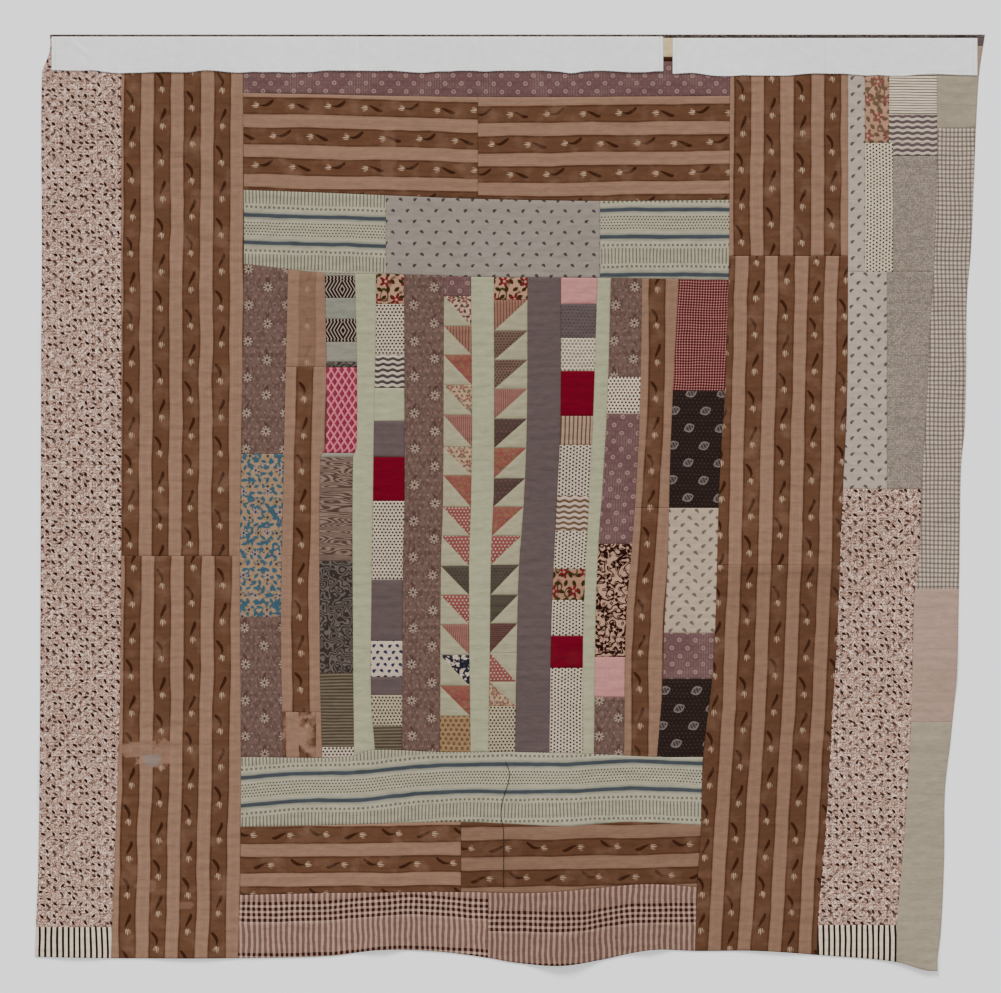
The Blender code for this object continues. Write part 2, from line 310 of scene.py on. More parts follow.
# Colours of the cloth: name and sRGB value
INKS = (
    ("brown_dark", "5a3c2a"), ("brown_light", "866753"), ("brown_comma", "2f1508"),
    ("brown_flower", "c4a88c"), ("speckle_ground", "a77c6a"), ("speckle_brown", "76584a"),
    ("speckle_dark", "241310"), ("speckle_cream", "ecd0be"), ("sage", "9f9d7e"),
    ("pale_sage", "868172"), ("pale_blue_green", "808071"), ("grey_lilac", "897e74"),
    ("slate", "403a38"), ("red", "67051b"), ("grey_purple", "574a49"), ("purple", "644e46"),
    ("purple_light", "8f786d"), ("ring_ground", "604544"), ("cream", "baa793"),
    ("yellow_cream", "c6b79d"), ("cream_dark", "2e2a22"), ("sprig_ground", "ab9782"),
    ("dull_cream", "a4957a"), ("hem_gold", "ceb88c"), ("star_dark", "47302a"), ("star_leaf", "7a6359"),
    ("leaf_black", "251a16"), ("band_ground", "a29a83"), ("triangle_pale", "9b9477"),
    ("band_blue", "3e4348"), ("band_dot", "33332a"), ("ochre", "8b6f4c"), ("black", "180d0c"),
    ("leaf_grey", "6f635f"), ("pink", "ba7e79"), ("rose", "7c453f"), ("gingham", "beac99"),
    ("gingham_dark", "675b53"), ("sage_plain", "998e79"), ("lower_pink", "a68979"), ("tape", "f7f7f7"),
    ("check_light", "a68475"), ("check_dark", "50372b"), ("check_dot", "2a130b"),
    ("stripe_cream", "d9c6ae"), ("stripe_black", "1a120c"), ("check_red", "4a0609"),
    ("check_pale", "b8a08f"), ("check_rose", "be8d84"), ("raspberry", "7c2a41"),
    ("raspberry_pale", "d2777e"), ("peach", "b08d7b"), ("vine", "220c07"), ("vine_ground", "aa846f"),
    ("chintz_ground", "a67d66"), ("chintz_red", "6e1420"), ("chintz_olive", "2e260f"),
    ("moire", "7d685c"), ("moire_dark", "4b372f"), ("worm_ground", "5c524c"), ("worm_dark", "322924"),
    ("olive", "44392b"), ("olive_pale", "665b4c"), ("blue", "34505c"), ("floral_tan", "92765c"),
    ("vermicular", "988778"), ("vermicular_dark", "766c62"), ("maroon", "4a2a2b"), ("orange", "7a5640"),
    ("clay", "856352"), ("brick", "6a4338"), ("rose_clay", "8a5f56"), ("slate_brown", "483f36"),
    ("umber", "635143"), ("tan_cream", "ab876a"), ("chintz_tan", "966f58"), ("plum", "473732"),
    ("navy", "2a2c44"), ("navy_black", "1e202c"), ("lining", "8d7262"), ("tan", "97806c"),
    ("worn_tan", "8a6956"), ("soil", "5e4a38"), ("thread", "2b2220"), ("warm_grey", "a9998a"),
    ("grey_ink", "7d736b"), ("floor", "f7f7f7"),
)


# Sizes of the cloth: name, what it is, default, least and most
SIZES = (
    ("cell", "Spacing of the mesh over the patches, mm", 5.6, 3, 20),
    ("lining_cell", "Spacing of the lining's mesh, mm", 12.0, 5, 40),
    ("seam_level", "Height of the seams, mm", 1.6, 1, 4),
    ("puff", "Rise of a patch beside its seam, mm", 1.0, 0, 4),
    ("crown", "Further rise towards the middle of a patch, mm", 0.5, 0, 4),
    ("quilting", "Spacing of the quilting rows, mm", 23.0, 8, 80),
    ("quilting_depth", "Rise between quilting rows, mm", 0.55, 0, 3),
)


def linear(hex_value):
    """Scene-linear colour of an sRGB value such as b59b90."""
    srgb = np.array([int(hex_value[i : i + 2], 16) for i in (0, 2, 4)]) / 255
    return tuple(np.where(srgb <= 0.04045, srgb / 12.92, ((srgb + 0.055) / 1.055) ** 2.4).tolist())


def ink_property(name, hex_value):
    """A colour property for one ink."""
    words = name.replace("_", " ")
    return bpy.props.FloatVectorProperty(
        name=words.capitalize(),
        description=f"Colour of the {words}",
        subtype="COLOR",
        size=3,
        min=0,
        max=1,
        default=linear(hex_value),
    )


class CoverletInks(bpy.types.PropertyGroup):
    """Colours of the prints, the lining, the tapes and the floor."""

    __annotations__ = {name: ink_property(name, value) for name, value in INKS}


def size_property(name, about, default, least, most):
    """A property for one size."""
    label = name.replace("_", " ").capitalize()
    return bpy.props.FloatProperty(name=label, description=about, default=default, min=least, max=most)


class CoverletSizes(bpy.types.PropertyGroup):
    """Sizes of the cloth, in mm."""

    __annotations__ = {name: size_property(name, *rest) for name, *rest in SIZES}


def sizes():
    """The scene's sizes."""
    return bpy.context.scene.coverlet_sizes


def ink(name):
    """An ink's colour with its alpha."""
    return (*getattr(bpy.context.scene.coverlet_inks, name), 1.0)


# Shape of the cloth


def smooth_curve(table, at):
    """Value at each place of the smooth curve through a two-column table: cubic Hermite pieces
    whose slope at a point is that of the straight line between its two neighbours."""
    place, value = np.array(table, float).T
    rise = np.diff(value) / np.diff(place)
    inner = (value[2:] - value[:-2]) / (place[2:] - place[:-2])
    slope = np.concatenate((rise[:1], inner, rise[-1:]))
    at = np.clip(at, place[0], place[-1])
    left = np.clip(np.searchsorted(place, at, side="right") - 1, 0, len(place) - 2)
    span = place[left + 1] - place[left]
    t = (at - place[left]) / span
    start = (1 + 2 * t) * (1 - t) ** 2 * value[left] + t * (1 - t) ** 2 * span * slope[left]
    end = t**2 * (3 - 2 * t) * value[left + 1] - t**2 * (1 - t) * span * slope[left + 1]
    return start + end


def line(side, at):
    """A side of a patch at each place along it: a plain number, a table, or a function."""
    if callable(side):
        return side(at)
    if isinstance(side, (int, float)):
        return np.full_like(np.asarray(at, float), side)
    return smooth_curve(side, at)


def to_mm(x, y):
    """Plan steps to mm from the middle of the coverlet, y to the head."""
    return (x - PLAN_MIDDLE_X) * STEP, (PLAN_MIDDLE_Y - y) * STEP


def left_edge(y):
    """x of the left edge, in plan steps."""
    return PLAN_MIDDLE_X + smooth_curve(LEFT_EDGE, (PLAN_MIDDLE_Y - y) * STEP) / STEP


def right_edge(y):
    """x of the right edge, in plan steps."""
    return PLAN_MIDDLE_X + smooth_curve(RIGHT_EDGE, (PLAN_MIDDLE_Y - y) * STEP) / STEP


def foot_edge(x):
    """y of the foot edge, in plan steps."""
    return PLAN_MIDDLE_Y - smooth_curve(FOOT_EDGE, (x - PLAN_MIDDLE_X) * STEP) / STEP


def edge_distance(x, y):
    """Distance from the nearest outer edge, mm, measured along x or y."""
    to_sides = np.minimum(x - left_edge(y), right_edge(y) - x)
    to_ends = np.minimum(y - HEAD_Y, foot_edge(x) - y)
    return np.minimum(to_sides, to_ends) * STEP


def sheet_lift(x_mm, y_mm):
    """Height of the underside above the surface, mm: the sum of the folds, each a half-cosine
    across its line times a straight change along it with soft ends, and the slight border curl."""
    lift = np.zeros_like(x_mm)
    for row in FOLDS:
        fold = dict(zip(FOLD_COLUMNS, row))
        line_x, line_y = fold["x1"] - fold["x0"], fold["y1"] - fold["y0"]
        length = float(np.hypot(line_x, line_y))
        along = ((x_mm - fold["x0"]) * line_x + (y_mm - fold["y0"]) * line_y) / length
        aside = ((x_mm - fold["x0"]) * line_y - (y_mm - fold["y0"]) * line_x) / length
        across = 0.5 + 0.5 * np.cos(np.pi * np.clip(np.abs(aside) / fold["half_width"], 0, 1))
        to_end = np.minimum(along, length - along) / fold["end_fade"]
        ends = 0.5 - 0.5 * np.cos(np.pi * np.clip(to_end, 0, 1))
        share = np.clip(along / length, 0, 1)
        lift += (fold["height0"] * (1 - share) + fold["height1"] * share) * across * ends
    outside = np.zeros_like(x_mm)
    corners = np.array(BEARING_CORNERS, float)
    for start, end in zip(corners, np.roll(corners, -1, axis=0)):
        side = (end - start) / np.hypot(*(end - start))
        outside = np.maximum(outside, (x_mm - start[0]) * side[1] - (y_mm - start[1]) * side[0])
    return lift + BORDER_RISE * np.tanh(outside * BORDER_SLOPE / BORDER_RISE)


def soft_noise(x_mm, y_mm, size_x, size_y, seed):
    """Smooth random field from -1 to 1: random values on a lattice of the given cell size, joined
    by smoothstep weights in both directions."""
    lattice = np.random.default_rng(seed).uniform(-1, 1, (64, 64))
    u, v = x_mm / size_x + 640, y_mm / size_y + 640
    i, j = np.floor(u).astype(int), np.floor(v).astype(int)
    fu, fv = u - i, v - j
    fu, fv = fu * fu * (3 - 2 * fu), fv * fv * (3 - 2 * fv)
    low = lattice[j % 64, i % 64] * (1 - fu) + lattice[j % 64, (i + 1) % 64] * fu
    high = lattice[(j + 1) % 64, i % 64] * (1 - fu) + lattice[(j + 1) % 64, (i + 1) % 64] * fu
    return low * (1 - fv) + high * fv


def unevenness(x_mm, y_mm, layers):
    """The sum of soft noises, each of its own strength, cell size and seed."""
    return sum(strength * soft_noise(x_mm, y_mm, *layer) for strength, *layer in layers)


def round_over(distance, radius=ROUND):
    """Quarter-circle profile: 0 at an edge, rising to 1 at one radius from it."""
    return np.sqrt(1 - (1 - np.clip(distance / radius, 0, 1)) ** 2)


def bell(distance, middle, width):
    """Bell profile: 1 at the middle, falling off over the width."""
    return np.exp(-(((distance - middle) / width) ** 2))


def crease_depth(x_mm, y_mm):
    """Depth of the sharp creases, mm: a bell across each line, fading at both of its ends."""
    depth = np.zeros_like(x_mm)
    for plan_x0, plan_y0, plan_x1, plan_y1, most in CREASES:
        start, end = np.array(to_mm(plan_x0, plan_y0)), np.array(to_mm(plan_x1, plan_y1))
        length = np.hypot(*(end - start))
        ahead = (end - start) / length
        along = (x_mm - start[0]) * ahead[0] + (y_mm - start[1]) * ahead[1]
        aside = (x_mm - start[0]) * ahead[1] - (y_mm - start[1]) * ahead[0]
        ends = np.clip(np.minimum(along, length - along) / CREASE_FADE, 0, 1)
        depth += most * bell(aside, 0, CREASE_WIDTH) * ends
    return depth


def relief(x_mm, y_mm):
    """Rise and fall of the quilted face, mm: a cosine between quilting rows that wander a little,
    cross-wise crinkles between them, and broader unevenness."""
    rows = -np.cos(2 * np.pi * (y_mm + unevenness(x_mm, y_mm, ROW_WANDER)) / sizes().quilting)
    rows *= sizes().quilting_depth * (0.6 + unevenness(x_mm, y_mm, ROW_STRENGTH))
    return rows + unevenness(x_mm, y_mm, CRINKLE) - crease_depth(x_mm, y_mm)


def spacing(length, cell, lip):
    """Shares from 0 to 1 of the grid lines across a length in mm: a close line beside each end and
    even cells between them."""
    if length < 6 * lip:
        return np.linspace(0, 1, 5)
    count = max(2, round((length - 5 * lip) / cell))
    inner = np.linspace(2.5 * lip, length - 2.5 * lip, count + 1)
    return np.concatenate(([0, lip], inner, [length - lip, length])) / length


def plan_points(sides, s, t):
    """Plan of a four-sided patch on a grid: s runs from its left to its right side and t from its
    head to its foot side, found by going back and forth between the two pairs of sides."""
    left, right, head, foot = sides
    s, t = np.meshgrid(s, t)
    y = np.full_like(s, 500.0)
    for _ in range(7):
        x = line(left, y) * (1 - s) + line(right, y) * s
        y = line(head, x) * (1 - t) + line(foot, x) * t
    return x, y


def patch_size(sides):
    """Width and length of a patch, mm."""
    x, y = plan_points(sides, np.linspace(0, 1, 3), np.linspace(0, 1, 3))
    return float(x[1, 2] - x[1, 0]) * STEP, float(y[2, 1] - y[0, 1]) * STEP


def face_height(x, y, sides, seam):
    """Height of a patch above the surface, mm: seam level at its sides, a quarter-round beside
    them, a low crown, the quilted relief, and the turned hem's roll at the outer edge."""
    left, right, head, foot = sides
    to_left, to_right = (x - line(left, y)) * STEP, (line(right, y) - x) * STEP
    to_head, to_foot = (y - line(head, x)) * STEP, (line(foot, x) - y) * STEP
    nearest = np.minimum(np.minimum(to_left, to_right), np.minimum(to_head, to_foot))
    if seam is not None:
        nearest = np.minimum(nearest, seam)
    x_mm, y_mm = to_mm(x, y)
    allowance = ALLOWANCE_RISE * (bell(to_left, *ALLOWANCE) + bell(to_head, *ALLOWANCE))
    shape = sizes().puff * round_over(nearest) + sizes().crown * (1 - np.exp(-nearest / PUFF_REACH))
    shape += (allowance + relief(x_mm, y_mm)) * np.clip(nearest / ROUND, 0, 1)
    outer = edge_distance(x, y)
    shape += sizes().seam_level - HEM_LINE_DEPTH * bell(outer, *HEM_LINE)
    shape = np.minimum(shape, HEM_LEVEL + HEM_RISE * round_over(outer))
    shape -= TAPE_DIP * bell(y, TAPE_FOOT_Y - 0.4, 2.2)
    shape = np.maximum(shape, HEM_LEVEL + round_over(outer))
    under_tape = np.clip((TAPE_FOOT_Y + 3.4 - y) / 2.4, 0, 1)
    return np.minimum(shape, TAPE_TOP - TAPE_SINK * under_tape) + sheet_lift(x_mm, y_mm)


class Shell:
    """Closed shells gathered into one mesh, each made from a grid of its face and its underside."""

    def __init__(self):
        self.points, self.quads, self.triangles = [], [], []
        self.quad_slots, self.triangle_slots, self.cloth, self.count = [], [], [], 0

    def add(self, x_mm, y_mm, face, under, cloth, slots, seam=None):
        """Adds one shell: quads over the face and the underside, and a wall round the rim. With a
        seam, each cell of the face is two triangles and the slot changes from one side to the other."""
        rows, columns = x_mm.shape
        index = np.arange(rows * columns).reshape(rows, columns)
        a, b = index[:-1, :-1].ravel(), index[1:, :-1].ravel()
        c, d = index[1:, 1:].ravel(), index[:-1, 1:].ravel()
        low = rows * columns
        rim = np.concatenate((index[:, 0], index[-1, 1:], index[-2::-1, -1], index[0, -2:0:-1]))
        ahead = np.roll(rim, -1)
        wall = np.stack((rim + low, ahead + low, ahead, rim), 1)
        base = np.stack((a, d, c, b), 1) + low
        hidden = np.concatenate((base, wall))
        if seam is None:
            top = np.stack((a, b, c, d), 1)
            self.quads.append(np.concatenate((top, hidden)) + self.count)
            self.quad_slots.append(np.full(len(top) + len(hidden), slots[0]))
        else:
            i, j = np.meshgrid(np.arange(columns - 1), np.arange(rows - 1))
            if seam == "falling":
                first, second = np.stack((a, c, d), 1), np.stack((a, b, c), 1)
                across = (i - j).ravel()
            else:
                first, second = np.stack((a, b, d), 1), np.stack((b, c, d), 1)
                across = (columns - 2 - i - j).ravel()
            self.triangles.append(np.concatenate((first, second)) + self.count)
            first_slot = np.where(across >= 0, slots[0], slots[1])
            second_slot = np.where(across > 0, slots[0], slots[1])
            self.triangle_slots.append(np.concatenate((first_slot, second_slot)))
            self.quads.append(hidden + self.count)
            self.quad_slots.append(np.full(len(hidden), slots[0]))
        for height in (face, under):
            self.points.append(np.stack((x_mm.ravel(), y_mm.ravel(), height.ravel()), 1) * MM)
            self.cloth.append(np.stack((cloth[0].ravel(), cloth[1].ravel()), 1))
        self.count += 2 * low

    def finish(self, name, materials):
        """Makes the object, with the cloth's own coordinates as a UV map."""
        faces = np.concatenate(self.quads).tolist()
        slots = [np.concatenate(self.quad_slots)]
        if self.triangles:
            faces += np.concatenate(self.triangles).tolist()
            slots.append(np.concatenate(self.triangle_slots))
        mesh = bpy.data.meshes.new(name)
        mesh.from_pydata(np.concatenate(self.points), [], faces)
        mesh.polygons.foreach_set("material_index", np.concatenate(slots).astype(np.int32))
        corners = np.empty(len(mesh.loops), np.int32)
        mesh.loops.foreach_get("vertex_index", corners)
        layer = mesh.uv_layers.new(name="cloth")
        layer.data.foreach_set("uv", np.concatenate(self.cloth)[corners].astype(np.float32).ravel())
        for material in materials:
            mesh.materials.append(material)
        mesh.shade_smooth()
        mesh.update()
        thing = bpy.data.objects.new(name, mesh)
        bpy.context.scene.collection.objects.link(thing)
        return thing


def join_body(thing):
    """Lets a piece ride on the coverlet's body."""
    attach(thing, BODY)


def under_height(x, y):
    """Underside of the patches, mm: just above the lining, and lower at the turned hem."""
    lift = sheet_lift(*to_mm(x, y))
    return lift + 0.35 + 0.95 * round_over(edge_distance(x, y))


def make_patches(name, patches):
    """One object of several patches. Each patch is a dict with its prints, its four sides, and
    perhaps the line that its pattern follows or the seam between its two triangles."""
    prints = []
    shell = Shell()
    for patch in patches:
        for used in patch["prints"]:
            if used not in prints:
                prints.append(used)
        slots = [prints.index(used) for used in patch["prints"]]
        sides, split = patch["sides"], patch.get("split")
        width, length = patch_size(sides)
        if split:
            width = length = (width + length) / 2
        s, t = spacing(width, sizes().cell, PATCH_LIP), spacing(length, sizes().cell, PATCH_LIP)
        x, y = plan_points(sides, s, t)
        seam = None
        if split:
            share_s, share_t = np.meshgrid(s, t)
            offset = share_s - share_t if split == "falling" else share_s + share_t - 1
            seam = np.abs(offset) * width / np.sqrt(2)
        grain_x, grain_y = patch.get("grain", (0, 0))
        x_mm, y_mm = to_mm(x, y)
        across = (x - line(grain_x, y)) * STEP + unevenness(x_mm, y_mm, DRIFT_ACROSS)
        down = (y - line(grain_y, x)) * STEP + unevenness(x_mm, y_mm, DRIFT_DOWN)
        cloth = (across, -down)
        if patch.get("turned"):
            cloth = (down, across * patch["turned"])
        face = face_height(x, y, sides, seam)
        shell.add(x_mm, y_mm, face, under_height(x, y), cloth, slots, split)
    join_body(shell.finish(name, [cloth_material(used) for used in prints]))


# Materials


def feed(tree, slot, value):
    """Gives an input a field, a socket or a plain value."""
    if isinstance(value, Field):
        value = value.socket
    if isinstance(value, bpy.types.NodeSocket):
        tree.links.new(value, slot)
    else:
        slot.default_value = value


class Field:
    """A number that changes over the cloth. Arithmetic on it adds Math nodes to its node tree."""

    def __init__(self, tree, socket):
        self.tree, self.socket = tree, socket

    def math(self, operation, *values, clamp=False):
        """A Math node fed with the given fields and numbers."""
        node = self.tree.nodes.new("ShaderNodeMath")
        node.operation = operation
        node.use_clamp = clamp
        for slot, value in zip(node.inputs, values):
            feed(self.tree, slot, value)
        return Field(self.tree, node.outputs[0])

    def __add__(self, other):
        return self.math("ADD", self, other)

    def __radd__(self, other):
        return self.math("ADD", other, self)

    def __sub__(self, other):
        return self.math("SUBTRACT", self, other)

    def __rsub__(self, other):
        return self.math("SUBTRACT", other, self)

    def __mul__(self, other):
        return self.math("MULTIPLY", self, other)

    def __rmul__(self, other):
        return self.math("MULTIPLY", other, self)

    def __truediv__(self, other):
        return self.math("DIVIDE", self, other)

    def __rtruediv__(self, other):
        return self.math("DIVIDE", other, self)

    def __mod__(self, other):
        return self.math("FLOORED_MODULO", self, other)

    def one(self, operation):
        """A Math node with this field alone, such as SINE or FLOOR."""
        return self.math(operation, self)

    def smaller(self, other):
        """The smaller of two values."""
        return self.math("MINIMUM", self, other)

    def larger(self, other):
        """The larger of two values."""
        return self.math("MAXIMUM", self, other)

    def below(self, edge, soft):
        """1 where the value is under the edge and 0 over it, with a soft step."""
        return self.math("ADD", (edge - self) / (2 * soft), 0.5, clamp=True)

    def above(self, edge, soft):
        """1 where the value is over the edge."""
        return self.math("ADD", (self - edge) / (2 * soft), 0.5, clamp=True)


def noise(tree, vector, scale, detail=2.0, rough=0.5):
    """A noise texture's value, 0 to 1."""
    node = tree.nodes.new("ShaderNodeTexNoise")
    node.inputs["Scale"].default_value = scale
    node.inputs["Detail"].default_value = detail
    node.inputs["Roughness"].default_value = rough
    tree.links.new(vector, node.inputs["Vector"])
    return Field(tree, node.outputs["Fac"])


def combine(tree, *values):
    """A vector from up to three fields or numbers."""
    node = tree.nodes.new("ShaderNodeCombineXYZ")
    for slot, value in zip(node.inputs, values):
        feed(tree, slot, value)
    return node.outputs[0]


def parts(tree, vector, scale=None):
    """The x and y of a vector, as fields."""
    split = tree.nodes.new("ShaderNodeSeparateXYZ")
    tree.links.new(vector, split.inputs[0])
    x, y = Field(tree, split.outputs["X"]), Field(tree, split.outputs["Y"])
    return (x * scale, y * scale) if scale else (x, y)


def make_group(name, inputs, outputs, build):
    """A node group with named number inputs (and Vector), filled by a function of its inputs."""
    tree = bpy.data.node_groups.new(name, "ShaderNodeTree")
    for wanted, default in inputs.items():
        kind = "NodeSocketVector" if wanted == "Vector" else "NodeSocketFloat"
        socket = tree.interface.new_socket(wanted, in_out="INPUT", socket_type=kind)
        if default is not None:
            socket.default_value = default
    for wanted in outputs:
        tree.interface.new_socket(wanted, in_out="OUTPUT", socket_type="NodeSocketFloat")
    source = tree.nodes.new("NodeGroupInput")
    sink = tree.nodes.new("NodeGroupOutput")
    fields = {
        wanted: source.outputs[wanted] if wanted == "Vector" else Field(tree, source.outputs[wanted])
        for wanted in inputs
    }
    for wanted, result in zip(outputs, build(tree, fields)):
        tree.links.new(result.socket, sink.inputs[wanted])
    return tree


def build_lattice(tree, f):
    """Staggered repeat: the place within its cell, measured from the cell's middle, a sign that
    alternates from cell to cell, and a random number for each cell."""
    row = (f["V"] / f["Pitch V"]).one("FLOOR")
    shifted = f["U"] + (row % 2.0) * f["Pitch U"] * f["Stagger"]
    column = (shifted / f["Pitch U"]).one("FLOOR")
    u = shifted - (column + 0.5) * f["Pitch U"]
    v = f["V"] - (row + 0.5) * f["Pitch V"]
    sign = 1.0 - ((row + column) % 2.0) * 2.0
    node = tree.nodes.new("ShaderNodeTexWhiteNoise")
    node.noise_dimensions = "2D"
    tree.links.new(combine(tree, row, column), node.inputs["Vector"])
    return u, v, sign, Field(tree, node.outputs["Value"])


def turned(f):
    """U and V turned by the Angle input."""
    cos, sin = f["Angle"].one("COSINE"), f["Angle"].one("SINE")
    return f["U"] * cos + f["V"] * sin, f["V"] * cos - f["U"] * sin


def build_comma(tree, f):
    """Tapered stroke: its half width follows the square root of the share along it times what is
    left, and its middle line bends as a parabola."""
    along, aside = turned(f)
    share = along.math("ADD", along / f["Length"], 0.5, clamp=True)
    half = (share * (1.0 - share)).one("SQRT") * (1.5 - share) * f["Width"]
    bent = aside + f["Bend"] * along * along / f["Length"]
    return (bent.one("ABSOLUTE").below(half, 0.35) * half.above(0.15, 0.1),)


def build_ring(tree, f):
    """Ring: where the distance from the middle is within half a line width of the radius."""
    far = (f["U"] * f["U"] + f["V"] * f["V"]).one("SQRT")
    return ((far - f["Radius"]).one("ABSOLUTE").below(f["Line"] * 0.5, 0.35),)


def build_flower(tree, f):
    """Flower: the radius swings with the angle, once for each petal, round a separate heart."""
    far = (f["U"] * f["U"] + f["V"] * f["V"]).one("SQRT")
    angle = far.math("ARCTAN2", f["V"], f["U"])
    edge = f["Radius"] * (0.66 + 0.34 * (angle * f["Petals"]).one("COSINE"))
    heart = far.below(f["Radius"] * 0.26, 0.4)
    return far.below(edge, 0.5) * (1.0 - heart), heart


def build_leaf(tree, f):
    """Leaf: a lens between two parabolas, with a thin vein down its middle."""
    along, aside = turned(f)
    share = along * 2.0 / f["Length"]
    half = (1.0 - share * share).larger(0.0) * f["Width"] * 0.5
    aside = aside.one("ABSOLUTE")
    mask = aside.below(half, 0.4) * half.above(0.3, 0.2)
    return mask, mask * aside.below(0.5, 0.3)


def build_stripe(tree, f):
    """Stripes: from each multiple of the pitch past the start, one width of ink."""
    place = (f["Position"] - f["Start"]) % f["Pitch"]
    return ((place - f["Width"] * 0.5).one("ABSOLUTE").below(f["Width"] * 0.5, f["Soft"]),)


def build_weave(tree, f):
    """Plain weave: two crossed sine waves, one thread apart, and uneven threads."""
    turn = TURN / f["Thread"]
    over = (f["U"] * turn).one("SINE") * (f["V"] * turn).one("SINE")
    slub = noise(tree, combine(tree, f["U"] * 0.06, f["V"] * 1.2), 1.0, 1.0) - 0.5
    return over, slub


def build_wear(tree, f):
    """Wear over the whole coverlet: broad fading, fine mottling, a few brown stains, and rubbed
    places, each an ellipse with a ragged edge."""
    vector = f["Vector"]
    x, y = parts(tree, vector, 1 / MM)
    ragged = noise(tree, vector, 60.0, 4.0, 0.7) - 0.5
    places = []
    for plan_x, plan_y, half_x, half_y, strength in (*RUBBED, BARE):
        middle_x, middle_y = to_mm(plan_x, plan_y)
        across, down = (x - middle_x) / (half_x * STEP), (y - middle_y) / (half_y * STEP)
        places.append((across * across + down * down + ragged * 4.2).below(1.0, 0.3) * strength)
    bare = places.pop()
    rubbed = places.pop()
    for place in places:
        rubbed = rubbed.larger(place)
    fade = noise(tree, vector, 3.2, 3.0, 0.6).above(0.54, 0.14)
    mottle = noise(tree, vector, 60.0, 3.0, 0.65)
    stain = noise(tree, vector, 1.9, 4.0, 0.62).above(0.66, 0.05)
    return fade, mottle, stain, rubbed, bare


def build_quilting(tree, f):
    """Quilting rows across the coverlet: a wandering line every spacing, dipped stitch by stitch,
    and short creases that run along it. The dip goes into the height, and is also given out on its own
    for the material to use as painted shade in the stitch dips."""
    x, y = parts(tree, f["Vector"], 1 / MM)
    wander = (noise(tree, f["Vector"], 4.5, 1.0) - 0.5) * 26.0
    place = ((y + wander) / f["Spacing"] + 0.5) % 1.0 - 0.5
    row = (place.one("ABSOLUTE") * f["Spacing"]).below(1.2, 0.9)
    stitch = ((x / 5.2) % 1.0 - 0.5).one("ABSOLUTE").below(0.26, 0.1)
    crease = noise(tree, combine(tree, x * 0.03, y * 0.06), 1.0, 1.6, 0.45) - 0.5
    dip = row * stitch * (0.5 + crease * 1.5)
    # The Dip output also darkens the colour in the material: painted shade in the stitch dips.
    return crease * 3.4 - dip * 0.5, dip


GROUPS = {
    "Lattice": (
        {"U": 0, "V": 0, "Pitch U": 10, "Pitch V": 10, "Stagger": 0.5},
        ("U", "V", "Sign", "Random"),
        build_lattice,
    ),
    "Comma": ({"U": 0, "V": 0, "Angle": 0, "Length": 8, "Width": 3, "Bend": 0.4}, ("Mask",), build_comma),
    "Ring": ({"U": 0, "V": 0, "Radius": 4, "Line": 1.5}, ("Mask",), build_ring),
    "Flower": ({"U": 0, "V": 0, "Radius": 8, "Petals": 5}, ("Mask", "Heart"), build_flower),
    "Leaf": ({"U": 0, "V": 0, "Angle": 0, "Length": 12, "Width": 5}, ("Mask", "Vein"), build_leaf),
    "Stripe": ({"Position": 0, "Pitch": 10, "Start": 0, "Width": 5, "Soft": 0.5}, ("Mask",), build_stripe),
    "Weave": ({"U": 0, "V": 0, "Thread": 0.8}, ("Height", "Shade"), build_weave),
    "Wear": ({"Vector": None}, ("Fade", "Mottle", "Stain", "Rubbed", "Bare"), build_wear),
    "Quilting": ({"Vector": None, "Spacing": 23}, ("Height", "Dip"), build_quilting),
}


def group_tree(name):
    """The named node group, made when first used."""
    found = bpy.data.node_groups.get(name)
    return found or make_group(name, *GROUPS[name])


